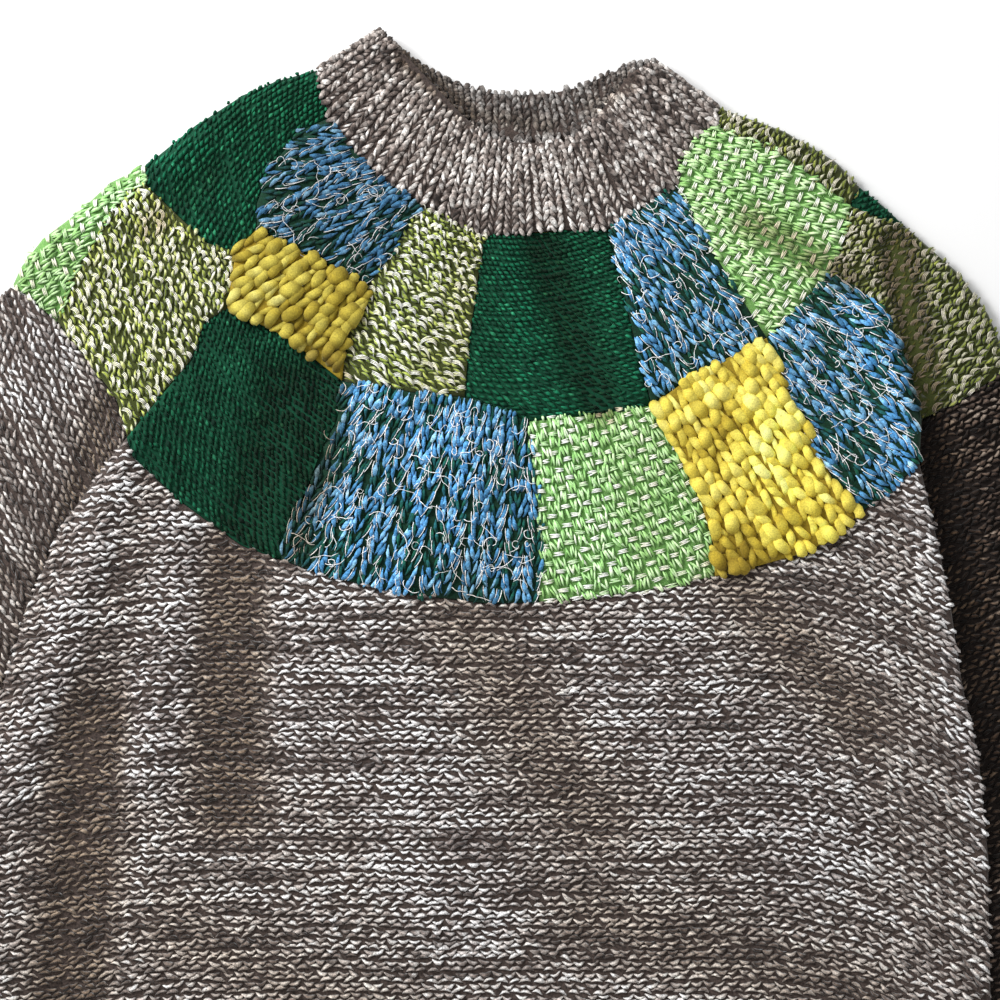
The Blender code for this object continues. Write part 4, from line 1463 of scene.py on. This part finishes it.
# Edges of the collar: rim of its front, rim of its back and its seam with the front yoke
FRONT_RIM = ((-71.0, 370.0), (-51.0, 350.0), (-35.0, 333.0), (-20.0, 317.0), (-6.0, 305.0),
             (6.0, 300.0), (29.0, 299.0), (45.0, 300.0), (59.0, 307.0), (65.0, 317.0),
             (76.0, 331.0), (84.0, 342.0), (100.0, 351.0))
BACK_RIM = ((-71.0, 370.0), (-54.0, 354.0), (-37.0, 344.0), (-22.0, 336.0), (-3.0, 331.0),
            (16.0, 330.0), (37.0, 331.0), (57.0, 336.0), (71.0, 343.0), (83.0, 349.0),
            (100.0, 351.0))
FRONT_NECK = ((-110.0, 346.0), (-103.0, 315.0), (-88.0, 297.0), (-71.0, 278.0), (-44.0, 261.0),
              (-26.0, 251.0), (-5.0, 242.0), (37.0, 245.0), (71.0, 246.0), (91.0, 259.0),
              (114.0, 273.0), (116.0, 287.0), (124.0, 301.0), (139.0, 310.0), (139.0, 323.0))


def middle_of(node: str) -> tuple[float, float]:
    """Middle of a solid's box as seen from above.

    Args:
        node: the solid's name.

    Returns:
        x and y in millimetres.
    """
    low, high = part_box(node)
    return (low.x + high.x) / 2 / MM, (low.y + high.y) / 2 / MM


@dataclass
class Yoke:
    """The patchwork yoke, front and back."""

    front: tuple = FRONT_YOKE
    back: tuple = BACK_YOKE
    front_seed: int = 100
    back_seed: int = 200

    def under(self, node: str) -> str:
        """Find the back block that carries the most of a front block.

        Args:
            node: the front block's solid.

        Returns:
            The back block's solid.
        """
        low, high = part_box(node)
        shared = {}
        for name, _ in self.back:
            back_low, back_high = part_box(name)
            wide = min(high.x, back_high.x) - max(low.x, back_low.x)
            long = min(high.y, back_high.y) - max(low.y, back_low.y)
            shared[name] = max(wide, 0.0) * max(long, 0.0)
        return max(shared, key=shared.get)

    def build(self, finishes: dict[str, bpy.types.Material]) -> None:
        """Build every block.

        Args:
            finishes: the materials by name.
        """
        for number, (node, yarn, stitch, tone) in enumerate(self.front):
            course = Field.fan(middle_of(node))
            Piece(node, yarn, (self.under(node),), self.front_seed + number,
                  ((stitch, course, tone),), CREASES).build(finishes)
        for number, (node, yarn) in enumerate(self.back):
            Piece(node, yarn, (SURFACE,), self.back_seed + number).build(finishes)


@dataclass
class Body:
    """The marled body with its hem."""

    row_bend: float = 9000.0      # radius of the rows' slight curve
    sag: tuple[float, float] = (8.0, 22.0)
    down: float = -math.pi / 2    # the columns run towards the hem
    seed: int = 300

    def build(self, finishes: dict[str, bpy.types.Material]) -> None:
        """Build front, back and hem.

        Args:
            finishes: the materials by name.
        """
        for part in ("body", "hem"):
            front, back = f"{part}_front", f"{part}_back"
            course = Field(middle_of(front), self.row_bend, self.down, self.sag)
            Piece(front, MARL, (back,), self.seed, ((PURL_MARL, course, 1.0),),
                  CREASES).build(finishes)
            Piece(back, MARL, (SURFACE,), self.seed).build(finishes)


class Side(Enum):
    """The viewer's side that a sleeve lies on, and the direction of its columns in radians."""

    LEFT = -2.5
    RIGHT = -1.15


@dataclass
class Sleeve:
    """One sleeve with its cuff."""

    side: Side
    yarn: Yarn
    stitch: Knit
    seed: int
    # How light the sleeve is: painted shade over the whole sleeve
    tone: float = 0.8
    row_bend: float = 900.0       # radius of the rows' curve round the arm

    def build(self, finishes: dict[str, bpy.types.Material]) -> None:
        """Build sleeve and cuff.

        Args:
            finishes: the materials by name.
        """
        for part in ("sleeve", "cuff"):
            node = f"{part}_{self.side.name.lower()}"
            course = Field(middle_of(node), self.row_bend, self.side.value)
            Piece(node, self.yarn, (SURFACE,), self.seed, ((self.stitch, course, self.tone),),
                  SLEEVE_CREASES, layers=2).build(finishes)


@dataclass
class Collar:
    """The ribbed funnel collar: its front, and the inside of its back over that."""

    front: Band = Band(FRONT_RIM, FRONT_NECK, 281.0, 52.0)
    inside: Band = Band(BACK_RIM, FRONT_RIM, 205.0, 30.0)
    front_tone: float = 0.76
    inside_tone: float = 0.34     # painted shade: the inside lies in the shade of the front
    seed: int = 500

    def build(self, finishes: dict[str, bpy.types.Material]) -> None:
        """Build the collar.

        Args:
            finishes: the materials by name.
        """
        courses = ((RIB, self.front, self.front_tone), (RIB, self.inside, self.inside_tone))
        Piece("collar", MARL, (SURFACE,), self.seed, courses, COLLAR_CREASES, layers=2,
              wrap=1).build(finishes)


@dataclass
class Studio:
    """Pale floor, soft light and the camera over the garment."""

    floor_size: float = 12.0      # metres, as all of the studio's lengths
    floor_drop: float = 0.0004    # keeps the floor off the flat underside
    key_power: float = 34.0
    key_place: tuple[float, float, float] = (-1.05, 1.00, 0.95)
    key_target: tuple[float, float, float] = (0.0, 0.08, 0.0)
    key_size: float = 0.7
    sky: float = 0.55

    def build(self) -> None:
        """Set up the studio."""
        self.floor()
        self.light()
        self.camera()

    def floor(self) -> None:
        """Lay the pale floor."""
        mesh = bpy.data.meshes.new("floor")
        half = self.floor_size / 2
        corners = [(x * half, y * half, -self.floor_drop)
                   for x, y in ((-1, -1), (1, -1), (1, 1), (-1, 1))]
        mesh.from_pydata(corners, [], [(0, 1, 2, 3)])
        made = bpy.data.materials.new("white_card")
        made.use_nodes = True
        shader = made.node_tree.nodes["Principled BSDF"]
        shader.inputs["Base Color"].default_value = (0.94, 0.94, 0.94, 1.0)
        shader.inputs["Roughness"].default_value = 0.9
        mesh.materials.append(made)
        linked("floor", mesh)

    def light(self) -> None:
        """Hang the soft key at the upper left and light the room evenly."""
        lamp = bpy.data.lights.new("key", "AREA")
        lamp.energy = self.key_power
        lamp.size = self.key_size
        obj = linked("key", lamp)
        obj.location = self.key_place
        aim = Vector(self.key_target) - Vector(self.key_place)
        obj.rotation_euler = aim.to_track_quat("-Z", "Y").to_euler()
        world = bpy.data.worlds.new("room")
        world.use_nodes = True
        sky = world.node_tree.nodes["Background"]
        sky.inputs["Color"].default_value = (1.0, 1.0, 1.0, 1.0)
        sky.inputs["Strength"].default_value = self.sky
        bpy.context.scene.world = world

    def camera(self) -> None:
        """Hang the camera straight over the garment, framed as in the photograph."""
        cam = bpy.data.cameras.new("camera")
        cam.lens = LENS
        cam.sensor_width = SENSOR
        height = VIEW_WIDTH * LENS / SENSOR + VIEW_HEIGHT
        obj = linked("camera", cam)
        obj.location = (VIEW_MIDDLE[0] * MM, VIEW_MIDDLE[1] * MM, height * MM)
        bpy.context.scene.camera = obj
        bpy.context.scene.view_settings.view_transform = "Standard"


def main() -> None:
    """Build the sweater's looks and the studio round it."""
    logging.basicConfig(level=logging.INFO, format="%(name)s %(message)s")
    finishes = {}
    for yarn in (MARL, SHADED_MARL, DARK_GREEN, BLUE_TWEED, YELLOW, OLIVE, LIGHT_GREEN):
        finishes[yarn.finish.name] = yarn.finish.material()
        finishes[yarn.finish.name + "_ground"] = yarn.finish.material(yarn.ground)
    Studio().build()
    # The right sleeve takes the marl and the stitch with painted shade
    sleeves = (Sleeve(Side.LEFT, MARL, SLEEVE_PURL, 400),
               Sleeve(Side.RIGHT, SHADED_MARL, SHADED_PURL, 401))
    for part in (Yoke(), Body(), *sleeves, Collar()):
        part.build(finishes)
        LOG.info("%s done", type(part).__name__)


if __name__ == "__main__":
    main()
